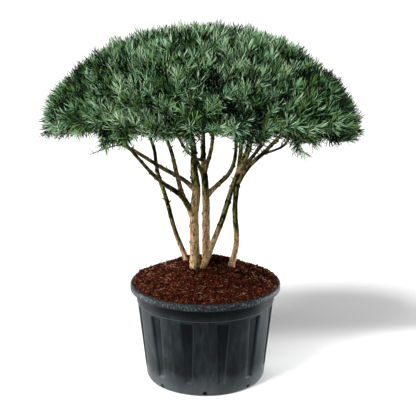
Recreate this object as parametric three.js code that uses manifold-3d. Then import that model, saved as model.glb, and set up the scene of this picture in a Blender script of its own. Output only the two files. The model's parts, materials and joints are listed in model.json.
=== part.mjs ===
// Scots pine grown on several stems to an umbrella crown, in a round nursery container.
// Millimetres, +Z up. The origin is the centre of the container's flat underside, and -Y is the front.

import * as THREE from 'three';
import { mergeVertices } from 'three/addons/utils/BufferGeometryUtils.js';
import Module from 'manifold-3d';

const wasm = await Module();
wasm.setup();

// Clearance between neighbouring solids
const GAP = 0.3;
const CUT_GAP = 0.36;

// Container: thin moulded wall, turned-down lip, plain band, step line and twelve pressed flutes
const POT_HEIGHT = 660;
const POT_SIDES = 48;
const WALL = 6;
const BASE_RADIUS = 396;
const WALL_SLOPE = 0.108;
const FOOT_ROUND = 24;
const LIP_RADIUS = 500;
const LIP_DEPTH = 42;
const LIP_ROUND = 18;
const BAND_DEPTH = 105;
const STEP = 4;
const FLUTES = 12;
const FLUTE_DEPTH = 11;
const FLUTE_FOOT = 80;
const FLUTE_HEAD = 548;
const FLUTE_RUNOUT = 20;
const FLUTE_HALF_WIDTH_FOOT = 20;
const FLUTE_HALF_WIDTH_HEAD = 42;

// Soil: heaped over the lip and mounded over the root ball, with a level place that the stems rise from
const SOIL_SIDES = 48;
const SOIL_ON_LIP = 8;
const MOUND_TOP = 785;
const MOUND_TOP_RADIUS = 215;
const MOUND_SHOULDER = new THREE.Vector2(350, 700);
const MOUND_RINGS = 2;

// Limbs
const STEM_SIDES = 8;
const STEM_BANDS = 8;
const STEM_CROWDING = 1.35;
const BOUGH_SIDES = 6;
const BOUGH_BANDS = 5;
const FLARE = 0.22;
const FLARE_RISE = 70;
const LAST_STEP = 90;
const CURVE_STEPS = 60;

// Crown: the upper part of an ellipsoid, shared out among one top mass and two rings of masses
const CROWN = new THREE.Vector3(-24, 0, 1660);
const CROWN_HALF = new THREE.Vector3(1042, 930, 695);
const MASS_DEPTH = 0.7;
const INNER_RING = { count: 5, polar: 41, start: 23 };
const OUTER_RING = { count: 10, polar: 72, start: 5 };
const CELL_GAP = 3;

// The crown's rim, as the cosine of its polar angle: it rises to the front, a little to the back, and to
// the left
const RIM = 0.05;
const RIM_RISE_FRONT = 0.2;
const RIM_RISE_BACK = 0.06;
const RIM_TILT = 0.05;

// Core of a mass: how far it keeps below the dome, from the next mass, back towards the stems, and from
// the rim, and the least that it reaches below its middle
const CORE_BELOW_DOME = 165;
const CORE_FROM_CELL = 8;
const CORE_INWARD = 110;
const CORE_OVER_RIM = 20;
const CORE_BELOW_MIDDLE = 60;
const STEM_IN_MASS = 45;
const DOME_SIDES = 20;

// Twigs and their tufts of needles
const DOME_TUFTS = 240;
const TUFT = 145;
const TUFT_RADIUS = 28;
const NEEDLE_SHARES = [1, 0.8, 0.6, 0.45];
const PULLS = [0, 0.08, 0.16, 0.26];
const TUFT_NEEDLES = 3;
const LEAN_NARROW = 0.3;
const LEAN_WIDE = 0.95;
const TUFT_AWAY = 0.8;
const TUFT_UP = 0.25;
const TUFT_SINK = 0.04;
const TWIG_RADIUS = 5;
const TWIG_BEND = 0.45;
const MASS_STEM_TAPER = 0.4;
const LIMB_CLEARANCE = 8;
const SEED = 3;
const SEED_STEP = 101;

// Tufts that hang under the crown's rim
const HANGING_TUFTS = 3;
const HANGING_REACH = 0.85;
const HANGING_DROP = 20;
const HANGING_SPREAD = 30;

const GOLDEN_ANGLE = Math.PI * (3 - Math.sqrt(5));
const UP = new THREE.Vector3(0, 0, 1);

// Stems: where each one stands, its way up, and its radius at even steps along it
const STEMS = [
  {
    name: 'stem_front', foot: [-68, -98], mass: 'foliage_inner_4',
    route: [[-70, -108, 980], [-70, -112, 1170], [-57, -102, 1300], [-74, -66, 1450], [-80, -62, 1620]],
    radii: [31, 30, 29, 25, 16, 13, 10],
  },
  {
    name: 'stem_back', foot: [6, 105], mass: 'foliage_inner_2',
    route: [[5, 112, 1000], [4, 110, 1200], [-9, 104, 1400], [-15, 140, 1520], [-14, 180, 1620]],
    radii: [27, 26, 25, 21, 15, 12, 10],
  },
  {
    name: 'stem_leaning', foot: [-14, -104], beside: 'stem_front', mass: 'foliage_inner_5',
    route: [[41, -118, 930], [108, -130, 1110], [170, -150, 1325], [214, -170, 1450], [268, -235, 1610]],
    radii: [20, 18, 18, 17, 16, 12, 9],
  },
  {
    name: 'stem_left', foot: [-126, 62], mass: 'foliage_outer_5',
    route: [[-204, 100, 981], [-259, 140, 1178], [-325, 185, 1385], [-341, 220, 1503], [-392, 300, 1600]],
    radii: [17, 15, 15, 14, 12, 10, 9],
  },
  {
    name: 'stem_right', foot: [172, -66], mass: 'foliage_inner_1',
    route: [[204, -70, 940], [193, -62, 1180], [216, -30, 1390], [232, 50, 1530], [240, 100, 1610]],
    radii: [19, 18, 17, 17, 14, 11, 9],
  },
];

// Boughs: the limb that each one leaves and at what height, its way, and its radius at even steps
const BOUGHS = [
  {
    name: 'bough_left_front', parent: 'stem_front', leaves: 1130, mass: 'foliage_outer_7',
    route: [[-107, -122, 1200], [-156, -130, 1275], [-290, -205, 1392], [-510, -415, 1660]],
    radii: [21, 18, 14, 12, 10, 8],
  },
  {
    name: 'bough_left_rear', parent: 'bough_left_front', leaves: 1262, mass: 'foliage_inner_3',
    route: [[-186, -25, 1400], [-238, 90, 1560]],
    radii: [16, 14, 12, 11, 9],
  },
  {
    name: 'bough_left_low', parent: 'stem_front', leaves: 1300, mass: 'foliage_outer_6',
    route: [[-139, -140, 1381], [-276, -190, 1471], [-452, -200, 1585], [-609, -180, 1665]],
    radii: [16, 14, 13, 11, 9, 7],
  },
  {
    name: 'bough_front', parent: 'stem_back', leaves: 1450, mass: 'foliage_outer_8',
    route: [[-20, -45, 1490], [-62, -136, 1520], [-120, -205, 1588], [-190, -375, 1750]],
    radii: [12, 11, 10, 9, 8, 7],
  },
  {
    name: 'bough_centre', parent: 'stem_back', leaves: 1375, mass: 'foliage_top',
    route: [[30, 62, 1500], [48, 0, 1620], [50, -24, 1700]],
    radii: [14, 13, 11, 10, 9],
  },
  {
    name: 'bough_right_rear', parent: 'stem_back', leaves: 1215, mass: 'foliage_outer_3',
    route: [[89, 132, 1292], [153, 152, 1350], [190, 185, 1420], [206, 280, 1560]],
    radii: [17, 15, 13, 11, 10, 8],
  },
  {
    name: 'bough_rear', parent: 'stem_back', leaves: 1330, mass: 'foliage_outer_4',
    route: [[-60, 210, 1440], [-130, 340, 1590]],
    radii: [13, 12, 10, 9, 8],
  },
  {
    name: 'bough_front_right', parent: 'stem_leaning', leaves: 1440, mass: 'foliage_outer_9',
    route: [[262, -270, 1560], [308, -400, 1710]],
    radii: [12, 11, 9, 8],
  },
  {
    name: 'bough_right_upper', parent: 'stem_right', leaves: 1400, mass: 'foliage_outer_2',
    route: [[296, 40, 1480], [376, 120, 1565]],
    radii: [12, 11, 10, 8],
  },
  {
    name: 'bough_right', parent: 'stem_right', leaves: 1345, mass: 'foliage_outer_10',
    route: [[292, -52, 1462], [372, -64, 1537], [430, -110, 1610]],
    radii: [16, 15, 13, 11, 9],
  },
  {
    name: 'bough_right_low', parent: 'bough_right', leaves: 1535, mass: 'foliage_outer_1',
    route: [[446, -36, 1552], [509, 0, 1578]],
    radii: [9, 8, 8, 7],
  },
];

// Colours and finishes
const BARK_TAN = new THREE.MeshStandardMaterial({ color: 0xb08a64, roughness: 0.9, metalness: 0 });
const BARK_OLIVE = new THREE.MeshStandardMaterial({ color: 0x6d6746, roughness: 0.9, metalness: 0 });
const NEEDLES = new THREE.MeshStandardMaterial({ color: 0x4f7a5e, roughness: 0.6, metalness: 0 });
const BLACK_PLASTIC = new THREE.MeshStandardMaterial({ color: 0x1b1f22, roughness: 0.45, metalness: 0 });
const BARK_COMPOST = new THREE.MeshStandardMaterial({ color: 0x3b1c12, roughness: 0.95, metalness: 0 });

// A repeatable row of numbers from 0 to 1
function randomFrom(seed) {
  let state = seed;
  return () => {
    state = (state * 1664525 + 1013904223) % 4294967296;
    return state / 4294967296;
  };
}

// A closed solid of a geometry, for joining and cutting
function solidOf(geometry) {
  const bare = new THREE.BufferGeometry();
  bare.setAttribute('position', geometry.getAttribute('position').clone());
  bare.setIndex(geometry.getIndex());
  const merged = mergeVertices(bare, 1e-4);
  const corners = merged.getIndex().array;
  const kept = [];
  for (let i = 0; i < corners.length; i += 3) {
    const [a, b, c] = [corners[i], corners[i + 1], corners[i + 2]];
    if (a !== b && b !== c && c !== a) kept.push(a, b, c);
  }
  return new wasm.Manifold(new wasm.Mesh({
    numProp: 3,
    vertProperties: new Float32Array(merged.getAttribute('position').array),
    triVerts: new Uint32Array(kept),
  }));
}

function geometryOf(solid) {
  const mesh = solid.getMesh();
  const geometry = new THREE.BufferGeometry();
  geometry.setAttribute('position', new THREE.BufferAttribute(new Float32Array(mesh.vertProperties), 3));
  geometry.setIndex(new THREE.BufferAttribute(new Uint32Array(mesh.triVerts), 1));
  geometry.computeVertexNormals();
  return geometry;
}

// The largest piece of a solid, with any sealed hollow filled
function wholePiece(solid) {
  const pieces = solid.decompose();
  return pieces.reduce((best, piece) => (piece.volume() > best.volume() ? piece : best));
}

function addMesh(group, name, geometry, material) {
  const mesh = new THREE.Mesh(geometry, material);
  mesh.name = name;
  group.add(mesh);
}

// Container

function wallRadius(z) {
  return BASE_RADIUS + WALL_SLOPE * z;
}

function potProfile() {
  const bandFoot = POT_HEIGHT - BAND_DEPTH;
  const lipUnderside = POT_HEIGHT - WALL;
  const profile = new THREE.Path();
  profile.moveTo(0, 0);
  profile.lineTo(BASE_RADIUS - FOOT_ROUND, 0);
  profile.quadraticCurveTo(BASE_RADIUS, 0, wallRadius(FOOT_ROUND), FOOT_ROUND);
  profile.lineTo(wallRadius(FLUTE_FOOT), FLUTE_FOOT);
  profile.lineTo(wallRadius(FLUTE_FOOT + FLUTE_RUNOUT), FLUTE_FOOT + FLUTE_RUNOUT);
  profile.lineTo(wallRadius(FLUTE_HEAD - FLUTE_RUNOUT), FLUTE_HEAD - FLUTE_RUNOUT);
  profile.lineTo(wallRadius(FLUTE_HEAD), FLUTE_HEAD);
  profile.lineTo(wallRadius(bandFoot) + STEP, bandFoot);
  profile.lineTo(wallRadius(lipUnderside) + STEP, lipUnderside);
  profile.lineTo(LIP_RADIUS - WALL, POT_HEIGHT - LIP_ROUND);
  profile.lineTo(LIP_RADIUS - WALL, POT_HEIGHT - LIP_DEPTH);
  profile.lineTo(LIP_RADIUS, POT_HEIGHT - LIP_DEPTH);
  profile.lineTo(LIP_RADIUS, POT_HEIGHT - LIP_ROUND);
  profile.quadraticCurveTo(LIP_RADIUS, POT_HEIGHT, LIP_RADIUS - LIP_ROUND, POT_HEIGHT);
  profile.lineTo(wallRadius(POT_HEIGHT) + STEP - WALL, POT_HEIGHT);
  profile.lineTo(wallRadius(bandFoot) + STEP - WALL, bandFoot);
  profile.lineTo(wallRadius(FLUTE_HEAD) - WALL, FLUTE_HEAD);
  profile.lineTo(wallRadius(FLUTE_HEAD - FLUTE_RUNOUT) - WALL, FLUTE_HEAD - FLUTE_RUNOUT);
  profile.lineTo(wallRadius(FLUTE_FOOT + FLUTE_RUNOUT) - WALL, FLUTE_FOOT + FLUTE_RUNOUT);
  profile.lineTo(wallRadius(FLUTE_FOOT) - WALL, FLUTE_FOOT);
  profile.lineTo(wallRadius(FOOT_ROUND) - WALL, FOOT_ROUND);
  profile.lineTo(BASE_RADIUS - FOOT_ROUND, WALL);
  profile.lineTo(0, WALL);
  return profile.getPoints(2);
}

// Presses the flutes into the wall: their middle column of corners moves in, and their edges close up
// towards the foot
function pressFlutes(geometry) {
  const period = (2 * Math.PI) / FLUTES;
  const column = (2 * Math.PI) / POT_SIDES;
  const corners = geometry.getAttribute('position');
  for (let i = 0; i < corners.count; i += 1) {
    const [x, y, z] = [corners.getX(i), corners.getY(i), corners.getZ(i)];
    const radius = Math.hypot(x, y);
    const onWall = z > FLUTE_FOOT - 1 && z < FLUTE_HEAD + 1 && radius < wallRadius(z) + 1;
    if (!onWall) continue;
    const angle = Math.atan2(y, x);
    const middle = (Math.floor(angle / period) + 0.5) * period;
    const columnsOff = Math.round((angle - middle) / column);
    const rise = (z - FLUTE_FOOT) / (FLUTE_HEAD - FLUTE_FOOT);
    const halfWidth = FLUTE_HALF_WIDTH_FOOT + rise * (FLUTE_HALF_WIDTH_HEAD - FLUTE_HALF_WIDTH_FOOT);
    const pressed = z > FLUTE_FOOT + 1 && z < FLUTE_HEAD - 1;
    let newRadius = radius;
    let newAngle = angle;
    if (columnsOff === 0 && pressed) newRadius -= FLUTE_DEPTH;
    if (Math.abs(columnsOff) === 1) newAngle = middle + (columnsOff * halfWidth) / radius;
    corners.setXY(i, newRadius * Math.cos(newAngle), newRadius * Math.sin(newAngle));
  }
}

function potGeometry() {
  const geometry = new THREE.LatheGeometry(potProfile(), POT_SIDES);
  geometry.rotateX(Math.PI / 2);
  pressFlutes(geometry);
  return geometryOf(solidOf(geometry));
}

// Soil

function soilProfile() {
  const facet = Math.cos(Math.PI / SOIL_SIDES);
  const inside = (z) => (wallRadius(z) - WALL) * facet - GAP;
  const bandFoot = POT_HEIGHT - BAND_DEPTH;
  const profile = new THREE.Path();
  profile.moveTo(0, WALL + GAP);
  profile.lineTo(inside(0) - FOOT_ROUND, WALL + GAP);
  profile.lineTo(inside(FOOT_ROUND) - FLUTE_DEPTH, FOOT_ROUND);
  profile.lineTo(inside(FLUTE_HEAD) - FLUTE_DEPTH, FLUTE_HEAD);
  profile.lineTo(inside(bandFoot) + STEP, bandFoot + STEP);
  profile.lineTo(inside(POT_HEIGHT) + STEP, POT_HEIGHT + GAP);
  profile.lineTo(LIP_RADIUS - LIP_ROUND, POT_HEIGHT + GAP);
  profile.lineTo(LIP_RADIUS - LIP_ROUND - 2, POT_HEIGHT + SOIL_ON_LIP);
  profile.quadraticCurveTo(MOUND_SHOULDER.x, MOUND_SHOULDER.y, MOUND_TOP_RADIUS, MOUND_TOP);
  profile.lineTo(0, MOUND_TOP);
  return profile.getPoints(MOUND_RINGS);
}

function soilGeometry() {
  const geometry = new THREE.LatheGeometry(soilProfile(), SOIL_SIDES);
  geometry.rotateX(Math.PI / 2);
  return geometryOf(solidOf(geometry));
}

// Limbs

// A tube through rings of corners, with its last end open where closed is false
function loft(rings, closed = true) {
  const sides = rings[0].length;
  const corners = [];
  const faces = [];
  for (const ring of rings) {
    for (const corner of ring) corners.push(corner.x, corner.y, corner.z);
  }
  for (let band = 0; band < rings.length - 1; band += 1) {
    for (let side = 0; side < sides; side += 1) {
      const a = band * sides + side;
      const b = band * sides + ((side + 1) % sides);
      faces.push(a, b, b + sides, a, b + sides, a + sides);
    }
  }
  for (let side = 1; side < sides - 1; side += 1) faces.push(0, side + 1, side);
  if (closed) {
    const last = (rings.length - 1) * sides;
    for (let side = 1; side < sides - 1; side += 1) faces.push(last, last + side, last + side + 1);
  }
  const geometry = new THREE.BufferGeometry();
  geometry.setAttribute('position', new THREE.Float32BufferAttribute(corners, 3));
  geometry.setIndex(faces);
  return geometry;
}

function valueAlong(values, t) {
  const place = t * (values.length - 1);
  const before = Math.min(Math.floor(place), values.length - 2);
  return values[before] + (values[before + 1] - values[before]) * (place - before);
}

// Rings of corners across a curve; the first one lies in the plane square to startNormal
function ringsAlong(curve, stations, radiusAt, sides, startNormal) {
  const frames = curve.computeFrenetFrames(CURVE_STEPS, false);
  return stations.map((t, station) => {
    const frame = Math.round(t * CURVE_STEPS);
    const centre = curve.getPointAt(t);
    const tangent = frames.tangents[frame];
    const ring = [];
    for (let side = 0; side < sides; side += 1) {
      const turn = (2 * Math.PI * side) / sides;
      const corner = centre.clone();
      corner.addScaledVector(frames.normals[frame], radiusAt(t) * Math.cos(turn));
      corner.addScaledVector(frames.binormals[frame], radiusAt(t) * Math.sin(turn));
      if (station === 0 && startNormal) {
        const off = corner.clone().sub(centre).dot(startNormal) / tangent.dot(startNormal);
        corner.addScaledVector(tangent, -off);
      }
      ring.push(corner);
    }
    return ring;
  });
}

function evenStations(bands, power = 1) {
  return Array.from({ length: bands + 1 }, (_, i) => (i / bands) ** power);
}

function limbSolid(limb, extra = 0) {
  const length = limb.curve.getLength();
  const isStem = Boolean(limb.foot);
  const radiusAt = (t) => {
    const flare = isStem ? 1 + FLARE * Math.exp((-t * length) / FLARE_RISE) : 1;
    return valueAlong(limb.radii, t) * flare + extra;
  };
  const stations = isStem ? evenStations(STEM_BANDS, STEM_CROWDING) : evenStations(BOUGH_BANDS);
  const sides = isStem ? STEM_SIDES : BOUGH_SIDES;
  return solidOf(loft(ringsAlong(limb.curve, stations, radiusAt, sides, isStem ? UP : null)));
}

function pointAtHeight(curve, z) {
  const points = curve.getSpacedPoints(4 * CURVE_STEPS);
  return points.reduce((best, p) => (Math.abs(p.z - z) < Math.abs(best.z - z) ? p : best));
}

// The limb's centre line, from its foot or its parent to the way into the mass that it carries
function limbCurve(limb, limbs, masses) {
  const start = limb.foot
    ? new THREE.Vector3(limb.foot[0], limb.foot[1], MOUND_TOP + GAP)
    : pointAtHeight(limbs.get(limb.parent).curve, limb.leaves);
  const way = limb.route.map((place) => new THREE.Vector3(...place));
  const mass = masses.get(limb.mass);
  const approach = way.at(-1).clone().sub(mass.centre).normalize();
  const entry = mass.centre.clone().addScaledVector(approach, coreReach(mass, approach) + STEM_IN_MASS);
  const before = way.filter((point) => point.distanceTo(entry) > LAST_STEP);
  return new THREE.CatmullRomCurve3([start, ...before, entry], false, 'centripetal');
}

// Crown

// A point of the crown's dome, or inside it where depth is under 1, by the cosine of its polar angle
function domePoint(cosPolar, azimuth, depth = 1) {
  const sinPolar = Math.sqrt(1 - cosPolar * cosPolar);
  const offset = new THREE.Vector3(
    sinPolar * Math.cos(azimuth), sinPolar * Math.sin(azimuth), cosPolar,
  );
  return offset.multiply(CROWN_HALF).multiplyScalar(depth).add(CROWN);
}

function domeNormal(point) {
  return point.clone().sub(CROWN).divide(CROWN_HALF).divide(CROWN_HALF).normalize();
}

// How far it is from a point inside the dome to its surface
function distanceToDome(point, direction) {
  const p = point.clone().sub(CROWN).divide(CROWN_HALF);
  const d = direction.clone().divide(CROWN_HALF);
  const [a, b, c] = [d.dot(d), p.dot(d), p.dot(p) - 1];
  return (-b + Math.sqrt(b * b - a * c)) / a;
}

function rimCosine(azimuth) {
  const rise = Math.sin(azimuth) < 0 ? RIM_RISE_FRONT : RIM_RISE_BACK;
  return RIM + rise * Math.abs(Math.sin(azimuth)) - RIM_TILT * Math.cos(azimuth);
}

function makeMasses() {
  const masses = new Map();
  const addMass = (name, polar, azimuth) => {
    const centre = domePoint(Math.cos(polar), azimuth, MASS_DEPTH);
    masses.set(name, { name, centre, index: masses.size });
  };
  addMass('foliage_top', 0, 0);
  for (const [label, ring] of [['inner', INNER_RING], ['outer', OUTER_RING]]) {
    for (let i = 0; i < ring.count; i += 1) {
      const azimuth = THREE.MathUtils.degToRad(ring.start + (360 / ring.count) * i);
      addMass(`foliage_${label}_${i + 1}`, THREE.MathUtils.degToRad(ring.polar), azimuth);
    }
  }
  for (const mass of masses.values()) {
    mass.walls = cellWalls(mass, masses);
    mass.back = { normal: domeNormal(mass.centre).negate(), distance: CORE_INWARD };
    const azimuth = Math.atan2(mass.centre.y - CROWN.y, mass.centre.x - CROWN.x);
    mass.rimHeight = CROWN.z + rimCosine(azimuth) * CROWN_HALF.z;
    const distance = Math.max(mass.centre.z - mass.rimHeight - CORE_OVER_RIM, CORE_BELOW_MIDDLE);
    mass.floor = { normal: UP.clone().negate(), distance };
  }
  return masses;
}

// The planes half-way to the other masses, which bound a mass's own space
function cellWalls(mass, masses) {
  const walls = [];
  for (const other of masses.values()) {
    if (other === mass) continue;
    const normal = other.centre.clone().sub(mass.centre);
    const distance = normal.length() / 2;
    walls.push({ normal: normal.normalize(), distance });
  }
  return walls;
}

function isInCell(mass, point) {
  const offset = point.clone().sub(mass.centre);
  return mass.walls.every((wall) => offset.dot(wall.normal) < wall.distance - CELL_GAP);
}

// How far the core reaches from the mass's middle: to below the dome, short of the next masses,
// and to its flat back and floor
function coreReach(mass, direction) {
  let reach = distanceToDome(mass.centre, direction) - CORE_BELOW_DOME;
  for (const wall of [...mass.walls, mass.back, mass.floor]) {
    const facing = direction.dot(wall.normal);
    if (facing > 0) reach = Math.min(reach, (wall.distance - CORE_FROM_CELL) / facing);
  }
  return reach;
}

// The dome's inside as one faceted ellipsoid, which every core is cut from
function innerDomeSolid() {
  const geometry = new THREE.SphereGeometry(1, DOME_SIDES, DOME_SIDES / 2);
  geometry.rotateX(Math.PI / 2);
  geometry.scale(
    CROWN_HALF.x - CORE_BELOW_DOME, CROWN_HALF.y - CORE_BELOW_DOME, CROWN_HALF.z - CORE_BELOW_DOME,
  );
  geometry.translate(...CROWN.toArray());
  return solidOf(geometry);
}

function coreSolid(mass, innerDome) {
  let core = innerDome;
  for (const wall of [...mass.walls, mass.back, mass.floor]) {
    const kept = wall.normal.clone().negate();
    const offset = kept.dot(mass.centre) - (wall.distance - CORE_FROM_CELL);
    core = core.trimByPlane(kept.toArray(), offset);
  }
  return core;
}

// Places for the tufts, spread evenly over the dome by the golden angle, down to the rim
function domePlaces(count) {
  const places = [];
  const low = CROWN_HALF.z;
  const grow = (CROWN_HALF.x + CROWN_HALF.y) / 2 - low;
  const areaAbove = (u) => low * (1 - u) + (grow * (1 - u * u)) / 2;
  for (let i = 0; i < count; i += 1) {
    const above = ((i + 0.5) / count) * areaAbove(RIM - RIM_TILT);
    const rest = low + grow / 2 - above;
    const cosPolar = (-low + Math.sqrt(low * low + 2 * grow * rest)) / grow;
    const azimuth = i * GOLDEN_ANGLE;
    if (cosPolar > rimCosine(azimuth)) places.push(domePoint(cosPolar, azimuth));
  }
  return places;
}

// A twig with a tuft at its end: a slim stalk of two or more rings, and needles standing out of its
// head, each one as long as fits its room
function tuftGeometry(curve, bands, axis, needleLength, hasRoom) {
  const radiusAt = (t) => (t < 1 ? TWIG_RADIUS : TUFT_RADIUS);
  const rings = ringsAlong(curve, evenStations(bands), radiusAt, TUFT_NEEDLES, null);
  const stalk = loft(rings, false);
  const corners = Array.from(stalk.getAttribute('position').array);
  const faces = Array.from(stalk.getIndex().array);
  const hub = curve.getPointAt(1);
  const rim = bands * TUFT_NEEDLES;
  const middle = rim + TUFT_NEEDLES;
  corners.push(...hub.clone().addScaledVector(axis, TUFT_RADIUS).toArray());
  for (let i = 0; i < TUFT_NEEDLES; i += 1) {
    const next = (i + 1) % TUFT_NEEDLES;
    const outward = rings.at(-1)[i].clone().lerp(rings.at(-1)[next], 0.5).sub(hub).normalize();
    const lean = LEAN_NARROW + ((LEAN_WIDE - LEAN_NARROW) * i) / (TUFT_NEEDLES - 1);
    const way = axis.clone().multiplyScalar(Math.cos(lean)).addScaledVector(outward, Math.sin(lean));
    const tip = NEEDLE_SHARES
      .map((share) => hub.clone().addScaledVector(way, share * needleLength))
      .find(hasRoom);
    if (tip === undefined) {
      faces.push(rim + i, rim + next, middle);
    } else {
      const point = corners.length / 3;
      corners.push(...tip.toArray());
      faces.push(rim + i, rim + next, point, rim + next, middle, point, middle, rim + i, point);
    }
  }
  const geometry = new THREE.BufferGeometry();
  geometry.setAttribute('position', new THREE.Float32BufferAttribute(corners, 3));
  geometry.setIndex(faces);
  return geometry;
}

function cornersOf(geometry) {
  const positions = geometry.getAttribute('position');
  const corner = (_, i) => new THREE.Vector3().fromBufferAttribute(positions, i);
  return Array.from({ length: positions.count }, corner);
}

function isClearOf(limb, point) {
  return limb.samples.every((sample) => sample.centre.distanceTo(point) > sample.radius + LIMB_CLEARANCE);
}

// The twig's way from the mass's stem to its tuft's head, straight inside the core and bent where it shows
function twigCurve(start, hub, axis, isBent) {
  if (!isBent) return new THREE.LineCurve3(start, hub);
  const bend = hub.clone().addScaledVector(axis, -TWIG_BEND * start.distanceTo(hub));
  return new THREE.QuadraticBezierCurve3(start, bend, hub);
}

// Tufts point out of the dome, somewhat away from the middle of their mass, and upwards
function tuftAxis(mass, place) {
  const away = place.clone().sub(mass.centre).normalize();
  return domeNormal(place).addScaledVector(away, TUFT_AWAY).addScaledVector(UP, TUFT_UP).normalize();
}

// The mass's own stem goes on from the tip of the limb that carries it, into the core
function massStemCurve(mass, limb) {
  const tip = limb.curve.getPointAt(1);
  const onward = limb.curve.getTangentAt(1);
  const start = tip.clone().addScaledVector(onward, GAP);
  const bend = tip.clone().addScaledVector(onward, STEM_IN_MASS);
  return new THREE.QuadraticBezierCurve3(start, bend, mass.centre);
}

function massStemSolid(curve, limb) {
  const tipRadius = limb.radii.at(-1);
  const radiusAt = (t) => tipRadius * (1 - MASS_STEM_TAPER * t);
  const onward = limb.curve.getTangentAt(1);
  return solidOf(loft(ringsAlong(curve, evenStations(3), radiusAt, BOUGH_SIDES, onward)));
}

// Places under the crown's rim, where a few tufts of each mass hang or reach out
function hangingPlaces(mass, random) {
  const places = [];
  for (let i = 0; i < HANGING_TUFTS; i += 1) {
    const azimuth = (i + random()) * ((2 * Math.PI) / HANGING_TUFTS);
    const outward = new THREE.Vector3(Math.cos(azimuth), Math.sin(azimuth), 0);
    const reach = coreReach(mass, outward) * HANGING_REACH;
    const place = mass.centre.clone().addScaledVector(outward, reach);
    place.z = mass.rimHeight - HANGING_DROP - HANGING_SPREAD * random();
    places.push(place);
  }
  return places;
}

// A tuft at its place, drawn in towards the middle of its mass as far as it takes to fit, or none
function growTuft(mass, limbs, start, place, axis, isBent) {
  const hasRoom = (point) => isInCell(mass, point)
    && [...limbs.values()].every((limb) => isClearOf(limb, point));
  for (const pull of PULLS) {
    const hub = place.clone().addScaledVector(axis, -TUFT).lerp(mass.centre, pull);
    const curve = twigCurve(start, hub, axis, isBent);
    const geometry = tuftGeometry(curve, isBent ? 2 : 1, axis, TUFT, hasRoom);
    const outer = cornersOf(geometry).slice(TUFT_NEEDLES);
    if (outer.every(hasRoom)) return solidOf(geometry);
  }
  return null;
}

function massSolid(mass, limb, limbs, places, innerDome) {
  const random = randomFrom(SEED + mass.index * SEED_STEP);
  const stemCurve = massStemCurve(mass, limb);
  const pieces = [coreSolid(mass, innerDome), massStemSolid(stemCurve, limb)];
  for (const place of places) {
    const sunk = place.clone().lerp(CROWN, TUFT_SINK * random());
    const start = stemCurve.getPointAt(0.5 + 0.45 * random());
    pieces.push(growTuft(mass, limbs, start, sunk, tuftAxis(mass, sunk), false));
  }
  for (const place of hangingPlaces(mass, random)) {
    const axis = place.clone().sub(mass.centre).normalize();
    const start = stemCurve.getPointAt(0.3 + 0.3 * random());
    pieces.push(growTuft(mass, limbs, start, place, axis, true));
  }
  const joined = wasm.Manifold.union(pieces.filter((piece) => piece !== null));
  return wholePiece(joined.subtract(limbSolid(limb, CUT_GAP)));
}

function nearestMass(masses, point) {
  const distance = (mass) => mass.centre.distanceTo(point);
  return [...masses.values()].reduce((best, mass) => (distance(mass) < distance(best) ? mass : best));
}

// Assembly

const group = new THREE.Group();
addMesh(group, 'pot', potGeometry(), BLACK_PLASTIC);
addMesh(group, 'soil', soilGeometry(), BARK_COMPOST);

const masses = makeMasses();
const limbs = new Map();
for (const limb of [...STEMS, ...BOUGHS]) {
  const curve = limbCurve(limb, limbs, masses);
  const sampleAt = (t) => ({ centre: curve.getPointAt(t), radius: valueAlong(limb.radii, t) });
  limbs.set(limb.name, { ...limb, curve, samples: evenStations(CURVE_STEPS).map(sampleAt) });
}
for (const limb of limbs.values()) {
  const neighbour = limbs.get(limb.parent ?? limb.beside);
  const whole = limbSolid(limb);
  const solid = neighbour ? wholePiece(whole.subtract(limbSolid(neighbour, CUT_GAP))) : whole;
  addMesh(group, limb.name, geometryOf(solid), limb.foot ? BARK_TAN : BARK_OLIVE);
}

const innerDome = innerDomeSolid();
const placesOf = new Map([...masses.keys()].map((name) => [name, []]));
for (const place of domePlaces(DOME_TUFTS)) placesOf.get(nearestMass(masses, place).name).push(place);
for (const limb of limbs.values()) {
  const mass = masses.get(limb.mass);
  const solid = massSolid(mass, limb, limbs, placesOf.get(mass.name), innerDome);
  addMesh(group, mass.name, geometryOf(solid), NEEDLES);
}

export default group;
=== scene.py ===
# Looks of the potted multi-stem scots pine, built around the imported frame.
# Sizes are in millimetres in the frame's axes, and add_piece turns them into metres.

import json
import math

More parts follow.
